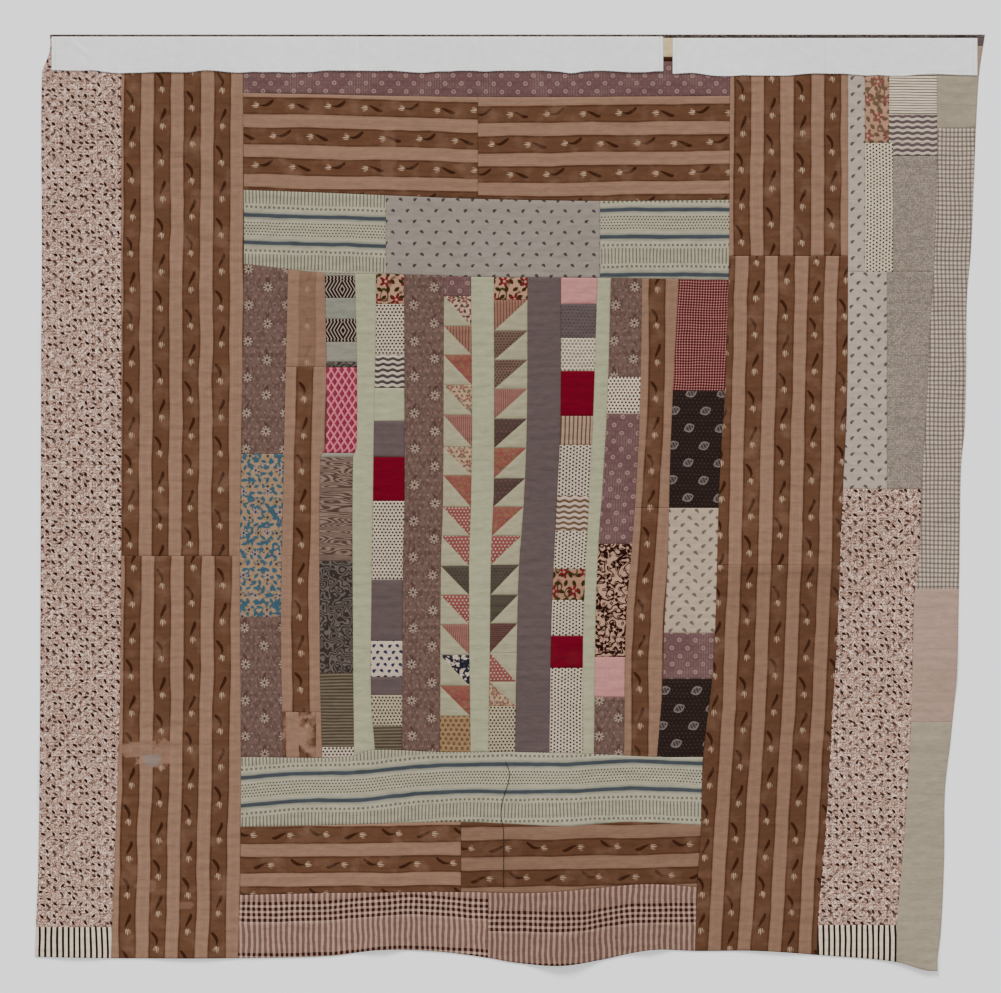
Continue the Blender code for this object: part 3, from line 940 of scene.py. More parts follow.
class Cloth:
    """A material being painted: its node tree, and the place on the cloth in mm."""

    def __init__(self, name):
        self.material = bpy.data.materials.new(name)
        self.material.use_nodes = True
        self.tree = self.material.node_tree
        self.shader = self.tree.nodes["Principled BSDF"]
        uv = self.tree.nodes.new("ShaderNodeUVMap")
        uv.uv_map = "cloth"
        self.u, self.v = parts(self.tree, uv.outputs[0])
        self.place = self.tree.nodes.new("ShaderNodeTexCoord").outputs["Object"]

    def use(self, group, **values):
        """A placed node group. Underscores in the names of its inputs stand for spaces."""
        node = self.tree.nodes.new("ShaderNodeGroup")
        node.node_tree = group_tree(group)
        for name, value in values.items():
            feed(self.tree, node.inputs[name.replace("_", " ")], value)
        return {output.name: Field(self.tree, output) for output in node.outputs}

    def mask(self, group, **values):
        """The first output of a placed group."""
        return self.use(group, **values)["Mask"]

    def spot(self, cell, radius):
        """The mask of a full round dot in each cell."""
        return self.mask("Ring", U=cell["U"], V=cell["V"], Radius=0.0, Line=radius * 2)

    def lines(self, place, pitch, width, soft=0.5):
        """The mask of even stripes."""
        return self.mask("Stripe", Position=place, Pitch=pitch, Width=width, Soft=soft)

    def lattice(self, pitch_u, pitch_v, stagger=0.5, du=0.0, dv=0.0, swap=False):
        """A staggered repeat over the cloth, shifted by du and dv."""
        u, v = (self.v, self.u) if swap else (self.u, self.v)
        return self.use("Lattice", U=u + du, V=v + dv, Pitch_U=pitch_u, Pitch_V=pitch_v, Stagger=stagger)

    def paint(self, under, over, mask, blend="MIX"):
        """Two colours mixed by a mask. A colour is an ink's name or a socket."""
        node = self.tree.nodes.new("ShaderNodeMix")
        node.data_type = "RGBA"
        node.blend_type = blend
        feed(self.tree, node.inputs[0], mask)
        for slot, colour in ((node.inputs[6], under), (node.inputs[7], over)):
            feed(self.tree, slot, ink(colour) if isinstance(colour, str) else colour)
        return node.outputs[2]

    def noise(self, scale, detail=2.0, stretch=(1.0, 1.0)):
        """Noise over the cloth's own coordinates, mm."""
        vector = combine(self.tree, self.u * (scale * stretch[0]), self.v * (scale * stretch[1]))
        return noise(self.tree, vector, 1.0, detail)

    def finish(self, colour, quilted=True):
        """Adds wear, weave and quilting to the print, with painted shade along the quilting's stitch dips,
        and feeds the shader.
        """
        wear = self.use("Wear", Vector=self.place)
        colour = self.paint(colour, "worn_tan", wear["Rubbed"])
        colour = self.paint(colour, "grey_ink", wear["Bare"])
        weave = self.use("Weave", U=self.u, V=self.v)
        colour = self.paint(colour, "soil", wear["Stain"] * 0.12)
        tone_and_stitch_shade = 0.83 + wear["Mottle"] * 0.3 + weave["Shade"] * 0.03 + wear["Fade"] * 0.07
        height = weave["Height"] * 0.05 + (wear["Mottle"] - 0.5) * 0.25
        if quilted:
            quilting = self.use("Quilting", Vector=self.place, Spacing=sizes().quilting)
            height = height + quilting["Height"]
            # Painted shade: the colour darkens along the quilting's stitch dips.
            tone_and_stitch_shade = tone_and_stitch_shade - quilting["Dip"] * 0.1
        colour = self.paint(colour, combine(self.tree, tone_and_stitch_shade, tone_and_stitch_shade, tone_and_stitch_shade), 1.0, "MULTIPLY")
        bump = self.tree.nodes.new("ShaderNodeBump")
        relief_values = {"Distance": MM, "Strength": 1.0, "Height": height}
        shader_values = {
            "Base Color": colour,
            "Roughness": 0.84 + wear["Mottle"] * 0.14,
            "Specular IOR Level": 0.06,
            "Normal": bump.outputs["Normal"],
        }
        for node, values in ((bump, relief_values), (self.shader, shader_values)):
            for name, value in values.items():
                feed(self.tree, node.inputs[name], value)
        return self.material


# Prints: each takes the cloth and gives its colour


def plain(c, ground, dark="soil", amount=0.12):
    """Plain cloth with uneven dyeing."""
    return c.paint(ground, dark, c.noise(0.06, 4.0) * amount)


def dots(c, ground, ink_name, pitch_u, pitch_v, radius, swap=False):
    """Small dots in a staggered repeat, its rows across the cloth or down it."""
    cell = c.lattice(pitch_u, pitch_v, swap=swap)
    return c.paint(ground, ink_name, c.spot(cell, radius))


def commas(c, ground, ink_name, pitch_u, pitch_v, length, width, tilt=0.7):
    """Commas that lean one way and the other by turns."""
    cell = c.lattice(pitch_u, pitch_v)
    angle = cell["Sign"] * tilt
    mark = c.mask("Comma", U=cell["U"], V=cell["V"], Angle=angle, Length=length, Width=width)
    return c.paint(ground, ink_name, mark)


def stripes(c, ground, ink_name, pitch, width, across="u", soft=0.5):
    """Even stripes, across u or v."""
    place = c.u if across == "u" else c.v
    return c.paint(ground, ink_name, c.lines(place, pitch, width, soft))


def waves(c, ground, ink_name, pitch, width, wavelength, height):
    """Wavy lines across the cloth."""
    place = c.v + (c.u * (TURN / wavelength)).one("SINE") * height
    return c.paint(ground, ink_name, c.lines(place, pitch, width, 0.7))


def chevrons(c):
    """Upright black lines that swing from side to side, with a row of dark diamonds."""
    swing = ((c.v / 44.0) % 1.0 - 0.5).one("ABSOLUTE") * 26.0
    side = (c.u - 38.0).one("ABSOLUTE")
    place = (side - swing).smaller(side + swing - 22.0)
    return c.paint("vermicular", "black", c.lines(place, 7.6, 5.1, 0.7))


def worms(c, ground, ink_name, size, share, bands=7.0, stretch=(1.0, 1.0), strength=1.0):
    """Wandering lines: the contour bands of a noise field."""
    bend = c.noise(1 / size, 1.5, stretch) * bands
    lines = ((bend % 1.0) - 0.5).one("ABSOLUTE").below(share / 2, 0.07)
    return c.paint(ground, ink_name, lines * strength)


def rings(c, ground, ink_name, pitch_u, pitch_v, radius, thick):
    """Small rings with dots between, over upright hairlines that show here and there."""
    hairlines = c.lines(c.u, 5.6, 2.4) * c.noise(0.018).above(0.52, 0.05)
    colour = c.paint(ground, ink_name, hairlines * 0.25)
    cell = c.lattice(pitch_u, pitch_v)
    colour = c.paint(colour, ink_name, c.mask("Ring", U=cell["U"], V=cell["V"], Radius=radius, Line=thick))
    cell = c.lattice(pitch_u / 2, pitch_v / 2, dv=pitch_v / 4)
    return c.paint(colour, ink_name, c.spot(cell, 0.8) * 0.7)


def check(c, ground, ink_name, pitch, width, pitch_down):
    """A two-way check: half tone where one stripe runs and full ink where two cross."""
    over = c.lines(c.u, pitch, width)
    down = c.lines(c.v, pitch_down, width)
    return c.paint(ground, ink_name, over.larger(down) * 0.8 + over * down * 0.2)


def leaves(c, ground, leaf, vein, pitch_u, pitch_v, length, width, turn=6.28):
    """Scattered leaves, each turned by its own amount."""
    cell = c.lattice(pitch_u, pitch_v)
    angle = cell["Random"] * turn
    found = c.use("Leaf", U=cell["U"], V=cell["V"], Angle=angle, Length=length, Width=width)
    return c.paint(c.paint(ground, leaf, found["Mask"]), vein, found["Vein"])


def blooms(c, ground, petal, heart, pitch_u, pitch_v, radius, petals, stagger=0.5, du=0.0, dv=0.0):
    """Flowers in a staggered repeat."""
    cell = c.lattice(pitch_u, pitch_v, stagger, du, dv)
    found = c.use("Flower", U=cell["U"], V=cell["V"], Radius=radius, Petals=petals)
    return c.paint(c.paint(ground, petal, found["Mask"]), heart, found["Heart"])


def brown_stripe(c, start=0.0, darkening=0.0):
    """Broad brown stripes on a lighter brown, each with a row of small flowers and dark commas,
    darkened towards the comma brown by a share, which on the lower-right patches is painted shade."""
    u, pitch = c.u + start, 66.0
    stripe = c.lines(u, pitch, 38.5, 0.6)
    pins = c.lines(u - 1.2, pitch, 3.4)
    pins = pins + c.lines(u - 34.6, pitch, 2.8)
    rails = c.lines(u - 43.5, pitch, 2.0)
    rails = rails + c.lines(u - 59.0, pitch, 2.0)
    colour = c.paint("brown_light", "brown_dark", stripe)
    colour = c.paint(colour, "brown_comma", pins * 0.4)
    colour = c.paint(colour, "brown_flower", rails * 0.06)
    cell = c.use("Lattice", U=c.v + 29.0, V=u + 13.75, Pitch_U=80.0, Pitch_V=pitch, Stagger=0.5)
    along, aside, lean = cell["U"], cell["V"], cell["Sign"]
    sway = (along * 0.16).one("SINE") * lean * 1.6
    place = {"U": 15.0 - along, "V": aside - lean * 3.0 + sway}
    comma = c.mask("Comma", **place, Angle=lean * -0.3, Length=33.0, Width=7.2)
    colour = c.paint(colour, "brown_comma", comma * 0.9)
    pale = c.mask("Comma", U=-10.0 - along, V=aside, Angle=0.1, Length=16.0, Width=2.6, Bend=0.0) * 0.7
    petals = ((8.0, 3.6, 12.0, 0.6), (9.5, -3.6, 12.0, 0.5), (10.0, 7.2, 8.0, 0.3))
    for down, side, length, strength in petals:
        place = {"U": -down - along, "V": aside - lean * side}
        petal = c.mask("Comma", **place, Angle=0.0, Length=length, Width=2.0, Bend=0.0)
        pale = pale.larger(petal * strength)
    colour = c.paint(colour, "brown_flower", pale)
    colour = c.paint(colour, "brown_light", c.noise(0.02, 3.0).above(0.6, 0.1) * 0.3)
    # Darkening by a share: painted shade on the lower-right patches.
    return c.paint(colour, "brown_comma", darkening)


def speckle(c):
    """Short dark dashes that lean every way, with cream flecks and fine brown lines between."""
    colour = worms(c, "speckle_ground", "speckle_brown", 7.0, 0.45, 3.0)
    bend = c.noise(0.16, 1.0) * 4.0
    fleck = ((bend + 0.5) % 1.0 - 0.5).one("ABSOLUTE").below(0.125, 0.08)
    colour = c.paint(colour, "speckle_cream", fleck)
    cell = c.use("Lattice", U=c.v, V=c.u, Pitch_U=26.0, Pitch_V=14.2, Stagger=0.5)
    for down, first, strength in ((0.0, 0.0, 1.0), (13.0, 0.37, 0.9)):
        chance = (cell["Random"] + first) % 1.0
        other = (chance * 7.3) % 1.0
        along = cell["U"] - down + (other - 0.5) * 10.0
        aside = cell["V"] + (chance - 0.5) * 7.0
        angle = chance * 0.8 + other.above(0.5, 0.01) * 1.4 + 0.5
        dash = c.mask("Leaf", U=along, V=aside, Angle=angle, Length=12.4, Width=5.9)
        colour = c.paint(colour, "speckle_dark", dash * strength * (0.68 + other.above(0.42, 0.05) * 0.32))
    return colour


def band(c):
    """Banded print: a pair of blue lines with dots between, then beads and upright ticks outside.
    The pattern's zero line is the middle of the upper blue line."""
    repeat, half_gap = 143.0, 30.0
    down = (0.0 - c.v) % repeat
    half = (down - half_gap).one("ABSOLUTE")
    mirrored = half.smaller(repeat - half)
    blue = (mirrored - half_gap).one("ABSOLUTE").below(3.4 + c.noise(0.03) * 2.0, 1.2)
    halo = (mirrored - half_gap).one("ABSOLUTE").below(9.0, 1.5)
    cell = c.lattice(7.0, 6.4)
    dot = c.spot(cell, 1.8) * mirrored.below(17.0, 0.6)
    beads = (mirrored - 48.0).one("ABSOLUTE").below(2.6, 0.7)
    beads = beads * c.lines(c.u, 10.2, 5.0)
    ticks = c.lines(c.u, 7.6, 3.1) * mirrored.above(55.0, 0.8)
    colour = c.paint("band_ground", "pale_blue_green", halo * 0.7)
    colour = c.paint(colour, "band_dot", (ticks * 0.7).larger(dot * 0.95).larger(beads * 0.75))
    return c.paint(colour, "band_blue", blue)


def foot_check(c, darkening=0.0):
    """Upright stripes crossed by four rows of dark dots, darkest where they cross, darkened towards
    the comma brown by a share, which on the lower-right patch is painted shade."""
    upright = c.lines(c.u + c.noise(0.02) * 7.0, 11.9, 6.6)
    down = (0.0 - c.v) % 112.3
    bars = c.lines(down, 12.1, 7.0) * down.below(48.0, 0.6)
    rows = down.below(48.0, 3.0)
    colour = c.paint("check_light", "check_dark", upright * (0.78 - rows * 0.25))
    colour = c.paint(colour, "speckle_cream", rows * (1.0 - upright) * (1.0 - bars) * 0.25)
    colour = c.paint(colour, "check_dark", (1.0 - upright) * bars * 0.42)
    colour = c.paint(colour, "check_dot", upright * bars)
    # Darkening by a share: painted shade on the lower-right patch.
    return c.paint(colour, "brown_comma", darkening)


def star(c, pitch_u=42.0, start=10.0):
    """Star flowers in two staggered rows over a dark ground of fine wandering lines."""
    colour = worms(c, "purple", "star_dark", 12.0, 0.4, 4.0, (1.3, 0.5), 0.5)
    colour = leaves(c, colour, "star_leaf", "purple", 17.0, 15.0, 9.0, 4.0)
    cell = c.use("Lattice", U=c.v, V=c.u + start, Pitch_U=79.0, Pitch_V=pitch_u, Stagger=0.5)
    leaf = c.use("Leaf", U=cell["U"] - 15.0, V=cell["V"], Angle=cell["Sign"] * 0.5, Length=18.0, Width=7.0)
    outline = c.use("Flower", U=cell["U"], V=cell["V"], Radius=15.0, Petals=8.0)
    found = c.use("Flower", U=cell["U"], V=cell["V"], Radius=11.5, Petals=8.0)
    colour = c.paint(colour, "star_dark", leaf["Mask"].larger(outline["Mask"]) * 0.8)
    return c.paint(c.paint(colour, "cream", found["Mask"] * 0.55), "star_dark", found["Heart"])


def chintz(c, ground="chintz_ground", bloom="chintz_red", leaf="chintz_olive", size=1.0):
    """Large flowers and leaves on winding stems."""
    colour = worms(c, ground, leaf, 40.0 * size, 0.2, 4.0)
    colour = leaves(c, colour, leaf, leaf, 19.0 * size, 17.0 * size, 15.0 * size, 8.5 * size)
    colour = blooms(c, colour, leaf, leaf, 46.0 * size, 40.0 * size, 15.0 * size, 5.0)
    return blooms(c, colour, bloom, ground, 46.0 * size, 40.0 * size, 12.0 * size, 5.0)


def scrolls(c):
    """Dark curling stems with small dark flowers on a pinkish ground."""
    colour = worms(c, "vine_ground", "vine", 28.0, 0.4, 6.0)
    colour = leaves(c, colour, "vine", "vine_ground", 17.0, 15.0, 13.0, 6.0)
    return blooms(c, colour, "vine", "vine_ground", 42.0, 36.0, 12.0, 5.0)


def blue_floral(c):
    """Blue sprays and ochre flowers on a greyish tan ground."""
    colour = worms(c, "floral_tan", "blue", 30.0, 0.35, 4.0)
    colour = leaves(c, colour, "blue", "blue", 17.0, 14.0, 15.0, 7.0)
    colour = blooms(c, colour, "ochre", "navy", 40.0, 34.0, 11.0, 5.0)
    return blooms(c, colour, "purple_light", "navy", 54.0, 46.0, 10.0, 6.0, du=21.0)


def black_leaf(c):
    """Large pale veined leaves in two staggered rows on black, with fine dots."""
    colour = dots(c, "leaf_black", "grey_purple", 9.0, 8.0, 0.8)
    cell = c.use("Lattice", U=c.v + 17.2, V=c.u + 11.7, Pitch_U=77.0, Pitch_V=34.5, Stagger=0.5)
    found = c.use("Leaf", U=cell["U"], V=cell["V"], Angle=1.15, Length=27.0, Width=19.0)
    inner = c.mask("Leaf", U=cell["U"], V=cell["V"], Angle=1.15, Length=21.0, Width=13.0)
    ribs = ((cell["U"] * 0.5 + cell["V"]) / 7.0 % 1.0).below(0.5, 0.1)
    colour = c.paint(colour, "leaf_grey", found["Mask"])
    colour = c.paint(colour, "leaf_black", inner * (0.35 + ribs * 0.5))
    return c.paint(colour, "leaf_black", found["Vein"] * 0.6)


def lattice_print(c):
    """Diamond lattice of pale lines with a dot in each diamond."""
    up = c.lines(c.u + c.v * 0.6, 15.5, 4.2, 1.2)
    down = c.lines(c.u - c.v * 0.6, 15.5, 4.2, 1.2)
    bars = c.lines(c.u - 4.0, 7.75, 1.8)
    colour = c.paint("raspberry", "chintz_red", bars * 0.7)
    return c.paint(colour, "raspberry_pale", up.larger(down) * (0.45 + c.noise(0.15) * 0.7))


def faded_stripe(c):
    """The brown stripe, faded and rubbed."""
    return c.paint(brown_stripe(c, start=-26.0), "brown_light", 0.62)


def worn(c):
    """Brown cloth worn thin, with pale patches and broken prints."""
    colour = brown_stripe(c, start=-36.0)
    return c.paint(colour, "worn_tan", c.noise(0.035, 4.0).above(0.53, 0.07))


def tape_weave(c):
    """White cotton tape with fine ribs across, and grey lines at the fold near its ends and at the seam near
    its foot: painted shade in their creases.
    """
    ribs = c.lines(c.u, 2.2, 1.1, 0.4)
    colour = c.paint("tape", "stripe_cream", ribs * 0.3)
    fold = (c.u - 8.0).one("ABSOLUTE").below(0.8, 0.6)
    seam = (c.v - 7.0).one("ABSOLUTE").below(0.7, 0.6)
    # Painted shade: grey lines along the fold and the seam.
    return c.paint(colour, "grey_ink", fold.larger(seam * 0.8) * 0.22)


# Plain cottons, each in the ink of its own name
SELF_COLOURED = (
    "hem_gold", "sage", "pale_sage", "pale_blue_green", "grey_purple", "pink", "sage_plain",
    "lower_pink", "tan", "lining", "thread",
)
# The prints by name: the function that paints each, and what it is given after the cloth
PRINTS = {
    "brown": (brown_stripe,),
    # The lower-right brown and checked prints below are darkened by a share: painted shade.
    "brown_low": (brown_stripe, 0.0, 0.12),
    "brown_foot": (brown_stripe, 0.0, 0.2),
    "brown_column": (brown_stripe, -23.0),
    "brown_narrow": (brown_stripe, -15.0, 0.05),
    "faded_column": (faded_stripe,),
    "worn_brown": (worn,),
    "speckle": (speckle,),
    "band": (band,),
    "foot_check": (foot_check,),
    "foot_check_shaded": (foot_check, 0.12),
    "purple_star": (star,),
    "purple_flower": (star, 44.0, 0.0),
    "chintz": (chintz,),
    "vine": (scrolls,),
    "faded_floral": (chintz, "chintz_ground", "rose", "soil", 1.0),
    "peach_floral": (chintz, "peach", "rose", "olive", 0.7),
    "cream_floral": (chintz, "tan_cream", "rose", "olive_pale", 0.6),
    "chintz_deep": (chintz, "chintz_tan"),
    "navy_floral": (worms, "cream", "navy_black", 11.0, 0.55, 2.6),
    "blue_floral": (blue_floral,),
    "black_leaf": (black_leaf,),
    "raspberry_lattice": (lattice_print,),
    "ring_print": (rings, "ring_ground", "purple_light", 35.0, 17.5, 3.6, 2.0),
    "grey_commas": (commas, "grey_lilac", "slate", 31.5, 23.8, 10.0, 6.0),
    "white_sprig": (commas, "sprig_ground", "olive_pale", 31.0, 15.5, 13.0, 6.5),
    "cream_sprig": (commas, "cream", "navy", 17.0, 14.0, 10.0, 6.5),
    "right_leaf": (commas, "warm_grey", "grey_purple", 30.0, 18.0, 12.0, 6.0),
    "cream_leaf": (leaves, "yellow_cream", "cream_dark", "cream", 8.2, 7.1, 7.5, 5.0),
    "cream_dots": (dots, "cream", "cream_dark", 8.0, 6.9, 2.3),
    "turned_dots": (dots, "cream", "cream_dark", 8.1, 7.0, 2.3, True),
    "dull_dots": (dots, "dull_cream", "cream_dark", 8.0, 6.9, 2.2),
    "pink_dots": (dots, "yellow_cream", "maroon", 8.0, 6.9, 2.4),
    "yellow_dots": (dots, "yellow_cream", "olive", 8.1, 7.0, 2.3, True),
    "ochre_dots": (leaves, "ochre", "maroon", "ochre", 12.0, 10.0, 9.0, 6.0),
    "black_wave": (waves, "cream", "slate", 12.6, 6.6, 22.0, 1.6),
    "slate_wave": (waves, "gingham", "grey_purple", 12.4, 7.0, 22.0, 1.3),
    "grey_wave": (waves, "check_pale", "soil", 12.4, 6.2, 22.0, 1.8),
    "black_chevron": (chevrons,),
    "grey_vermicular": (worms, "vermicular", "vermicular_dark", 5.5, 0.45, 3.0),
    "dark_worm": (worms, "worm_ground", "worm_dark", 30.0, 0.5, 11.0),
    "brown_moire": (worms, "moire", "moire_dark", 60.0, 0.5, 24.0, (0.35, 2.2)),
    "orange_red": (worms, "orange", "rose", 12.0, 0.5, 3.0),
    "olive_stripe": (stripes, "olive_pale", "olive", 7.0, 3.8, "v"),
    "fine_stripe": (stripes, "stripe_cream", "olive", 6.0, 2.2, "v"),
    "bold_stripe": (stripes, "stripe_cream", "stripe_black", 12.3, 5.2),
    "brown_pinstripe": (stripes, "tan", "brown_dark", 9.0, 3.2),
    "rust_stripe": (stripes, "clay", "brick", 6.5, 3.2),
    "pink_stripe": (stripes, "rose_clay", "brick", 4.6, 2.0),
    "rose_ochre": (dots, "rose", "check_pale", 8.0, 7.0, 1.5),
    "plum": (dots, "plum", "rose", 10.0, 9.0, 1.2),
    "dark_olive": (dots, "slate_brown", "olive", 8.0, 7.0, 1.6),
    "slate_square": (dots, "slate_brown", "black", 8.0, 7.0, 1.1),
    "umber_dots": (dots, "umber", "maroon", 7.0, 6.0, 2.0),
    "dark_grey": (dots, "grey_purple", "black", 8.0, 7.0, 1.1),
    "red_check": (check, "check_rose", "check_red", 5.8, 4.0, 5.9),
    "gingham": (check, "gingham", "gingham_dark", 9.0, 4.2, 10.1),
    "maroon": (dots, "umber", "maroon", 5.0, 4.4, 2.3),
    "chocolate": (plain, "brown_comma"),
    "pale_triangle": (plain, "triangle_pale"),
    "red": (plain, "red", "black"),
    "tape": (tape_weave,),
    **{name: (plain, name) for name in SELF_COLOURED},
}
UNQUILTED = ("lining", "tape", "thread")


def cloth_material(name):
    """The material of one printed cotton, made when first used."""
    found = bpy.data.materials.get("cotton_" + name)
    if found:
        return found
    painter, *values = PRINTS[name]
    cloth = Cloth("cotton_" + name)
    return cloth.finish(painter(cloth, *values), quilted=name not in UNQUILTED)


# Pieces


def patch_of(used, *sides, **more):
    """One patch of one print: its left, right, head and foot side."""
    return {"prints": [used], "sides": sides, **more}


def stack(left, right, head, foot, rows, **more):
    """Patches one below the other between two long seams: rows are print and the y it ends at."""
    patches = []
    top = head
    for used, end in rows:
        bottom = foot if end is None else end
        patches.append(patch_of(used, left, right, top, bottom, **more))
        top = bottom
    return patches


class COVERLET_OT_lining(bpy.types.Operator):
    """Makes the lining: one closed sheet under all the patches"""

    bl_idname = "coverlet.lining"
    bl_label = "Lining"

    def execute(self, context):
        inset = LINING_INSET / STEP
        sides = (
            lambda y: left_edge(y) + inset,
            lambda y: right_edge(y) - inset,
            HEAD_Y + inset,
            lambda x: foot_edge(x) - inset,
        )
        width, length = patch_size(sides)
        cell = sizes().lining_cell
        x, y = plan_points(sides, spacing(width, cell, 2.0), spacing(length, cell, 2.0))
        lift = sheet_lift(*to_mm(x, y))
        edge = round_over(edge_distance(x, y) - LINING_INSET)
        shell = Shell()
        shell.add(*to_mm(x, y), lift + 0.3 + 0.85 * edge, lift, to_mm(x, y), [0])
        lining = shell.finish("lining", [cloth_material("lining")])
        join_body(lining)
        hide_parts("coverlet")
        return {"FINISHED"}


class COVERLET_OT_left_panels(bpy.types.Operator):
    """Makes the speckled edge strip and the broad brown panel on the left"""

    bl_idname = "coverlet.left_panels"
    bl_label = "Left panels"

    def execute(self, context):
        rows = (("speckle", 927), ("bold_stripe", None))
        make_patches("left_speckled_strip", stack(left_edge, SEAM_SPECKLE, HEM_Y, foot_edge, rows))
        upper, lower = ((72, 124), (556, 121)), ((556, 124), (700, 123), (957, 118))
        sides = SEAM_SPECKLE, SEAM_CENTRE_LEFT
        make_patches(
            "left_brown_panel",
            [
                patch_of("brown", *sides, HEM_Y, 556, grain=(upper, 0)),
                patch_of("brown", *sides, 556, foot_edge, grain=(lower, -13.2)),
            ],
        )
        return {"FINISHED"}


class COVERLET_OT_head_panels(bpy.types.Operator):
    """Makes the head hem, the ring-print strip, the two brown panels and the banded row below them"""

    bl_idname = "coverlet.head_panels"
    bl_label = "Head panels"

    def execute(self, context):
        make_patches("head_hem", [patch_of("dark_worm", left_edge, right_edge, HEAD_Y, HEM_Y)])
        left, right = SEAM_CENTRE_LEFT, SEAM_CENTRE_RIGHT
        rows = (("hem_gold", 57), ("chocolate", 61.5), ("ring_print", None))
        make_patches("head_ring_strip", stack(left, right, HEM_Y, SEAM_RING_STRIP, rows))
        grain_left, grain_right = ((243, 96.5), (478, 102)), ((478, 106), (730, 103.5))
        ends = SEAM_RING_STRIP, SEAM_BAND_HEAD
        make_patches(
            "head_brown_panels",
            [
                patch_of("brown", left, 478, *ends, grain=(0, grain_left), turned=1),
                patch_of("brown", 478, right, *ends, grain=(0, grain_right), turned=1),
            ],
        )
        ends = SEAM_BAND_HEAD, SEAM_COLUMNS_HEAD
        band_left, band_right = ((243, 214.5), (386, 219.5)), ((600, 210), (730, 210))
        make_patches(
            "head_banded_row",
            [
                patch_of("band", left, 386, *ends, grain=(0, band_left)),
                patch_of("grey_commas", 386, 600, *ends),
                patch_of("band", 600, right, *ends, grain=(0, band_right)),
            ],
        )
        return {"FINISHED"}


class COVERLET_OT_centre_columns(bpy.types.Operator):
    """Makes the fifteen narrow pieced columns of the centre"""

    bl_idname = "coverlet.centre_columns"
    bl_label = "Centre columns"

    def execute(self, context):
        head, foot = SEAM_COLUMNS_HEAD, SEAM_COLUMNS_FOOT
        for number, rows in enumerate(COLUMN_PATCHES):
            left, right = COLUMN_SEAMS[number], COLUMN_SEAMS[number + 1]
            if rows is None:
                patches = self.squares(left, right, SQUARE_COLUMNS[number])
            else:
                patches = stack(left, right, head, foot, rows, grain=(left, 0))
            make_patches(f"column_{number + 1:02d}", patches)
        return {"FINISHED"}

    def squares(self, left, right, column):
        """A column of squares, each of a dark and a pale triangle."""
        first, first_end = column["first"]
        lines = column["lines"]
        patches = stack(left, right, SEAM_COLUMNS_HEAD, None, [(first, first_end)], grain=(left, 0))
        for number, dark in enumerate(column["dark"]):
            turned = number in column["turned"]
            patches.append(
                {
                    "prints": [PALE_TRIANGLE, dark] if turned else [dark, PALE_TRIANGLE],
                    "sides": (left, right, lines[number], lines[number + 1]),
                    "split": "falling" if turned else column["seam"],
                    "grain": (left, 0),
                }
            )
        patches += stack(left, right, lines[-1], SEAM_COLUMNS_FOOT, [(column["last"], None)], grain=(left, 0))
        return patches


class COVERLET_OT_foot_panels(bpy.types.Operator):
    """Makes the banded row, the two brown panels and the checked row at the foot"""

    bl_idname = "coverlet.foot_panels"
    bl_label = "Foot panels"

    def execute(self, context):
        left, right = SEAM_CENTRE_LEFT, SEAM_CENTRE_RIGHT
        grain = (243, 778), (297, 774), (363, 772), (397, 768), (463, 764), (563, 764), (630, 761), (697, 763)
        banded = patch_of("band", left, right, SEAM_COLUMNS_FOOT, SEAM_BAND_FOOT, grain=(0, grain))
        make_patches("foot_banded_row", [banded])
        ends = SEAM_BAND_FOOT, SEAM_CHECK
        grain_left, grain_right = ((240, 826.5), (461, 824.5)), ((461, 840), (597, 838), (697, 836))
        make_patches(
            "foot_brown_panels",
            [
                patch_of("brown", left, 461, *ends, grain=(0, grain_left), turned=-1),
                patch_of("brown_foot", 461, right, *ends, grain=(0, grain_right), turned=-1),
            ],
        )
        row_left = ((239, 901.4), (316, 901.4), (349, 898.6), (382, 895.4), (415, 894.4), (488, 899))
        row_right = ((488, 911), (581, 911.4), (608, 906.6), (635, 903.4), (697, 902.4))
        ends = SEAM_CHECK, foot_edge
        make_patches(
            "foot_checked_row",
            [
                patch_of("foot_check", left, 488, *ends, grain=(0, row_left)),
                patch_of("foot_check_shaded", 488, right, *ends, grain=(0, row_right)),
            ],
        )
        return {"FINISHED"}


class COVERLET_OT_right_panels(bpy.types.Operator):
    """Makes the broad brown panel and the pieced strips on the right"""

    bl_idname = "coverlet.right_panels"
    bl_label = "Right panels"

    def execute(self, context):
        sides = SEAM_CENTRE_RIGHT, SEAM_BROWN_RIGHT
        grains = ((72, 733.5), (256, 733)), ((256, 748), (565, 741)), ((565, 741), (719, 734), (957, 720))
        make_patches(
            "right_brown_panel",
            [
                patch_of("brown", *sides, HEM_Y, 256, grain=(grains[0], -10.5)),
                patch_of("brown", *sides, 256, 565, grain=(grains[1], 9)),
                patch_of("brown_low", *sides, 565, foot_edge, grain=(grains[2], 4.5)),
            ],
        )
        inner = SEAM_BROWN_RIGHT
        make_patches(
            "right_inner_strips",
            [
                patch_of("right_leaf", inner, 865, HEM_Y, 272),
                patch_of("right_leaf", inner, 887, 272, 489),
                patch_of("faded_floral", 865, 889, HEM_Y, 143),
                patch_of("yellow_dots", 865, 893, 143, 272),
            ],
        )
        outer = SEAM_OUTER_RIGHT
        make_patches(
            "right_middle_strip",
            stack(889, outer, HEM_Y, None, (("fine_stripe", 115), ("slate_wave", 143)))
            + stack(893, outer, 143, None, (("slate_wave", 156), ("grey_vermicular", 272)))
            + stack(887, outer, 272, None, (("grey_vermicular", 489),)),
        )
        rows = (("speckle", 925), ("bold_stripe", None))
        make_patches("right_speckled_strip", stack(inner, outer, 489, foot_edge, rows))
        rows = (
            ("grey_purple", 46),
            ("tan", 75),
            ("sage_plain", 128),
            ("gingham", 589),
            ("lower_pink", 722),
            ("sage_plain", None),
        )
        make_patches("right_outer_strip", stack(outer, right_edge, HEM_Y, foot_edge, rows))
        return {"FINISHED"}


def tape_wave(x_mm):
    """How far the foot edge of a tape wanders, mm."""
    return unevenness(x_mm, np.zeros_like(x_mm), TAPE_WANDER) - 1.2


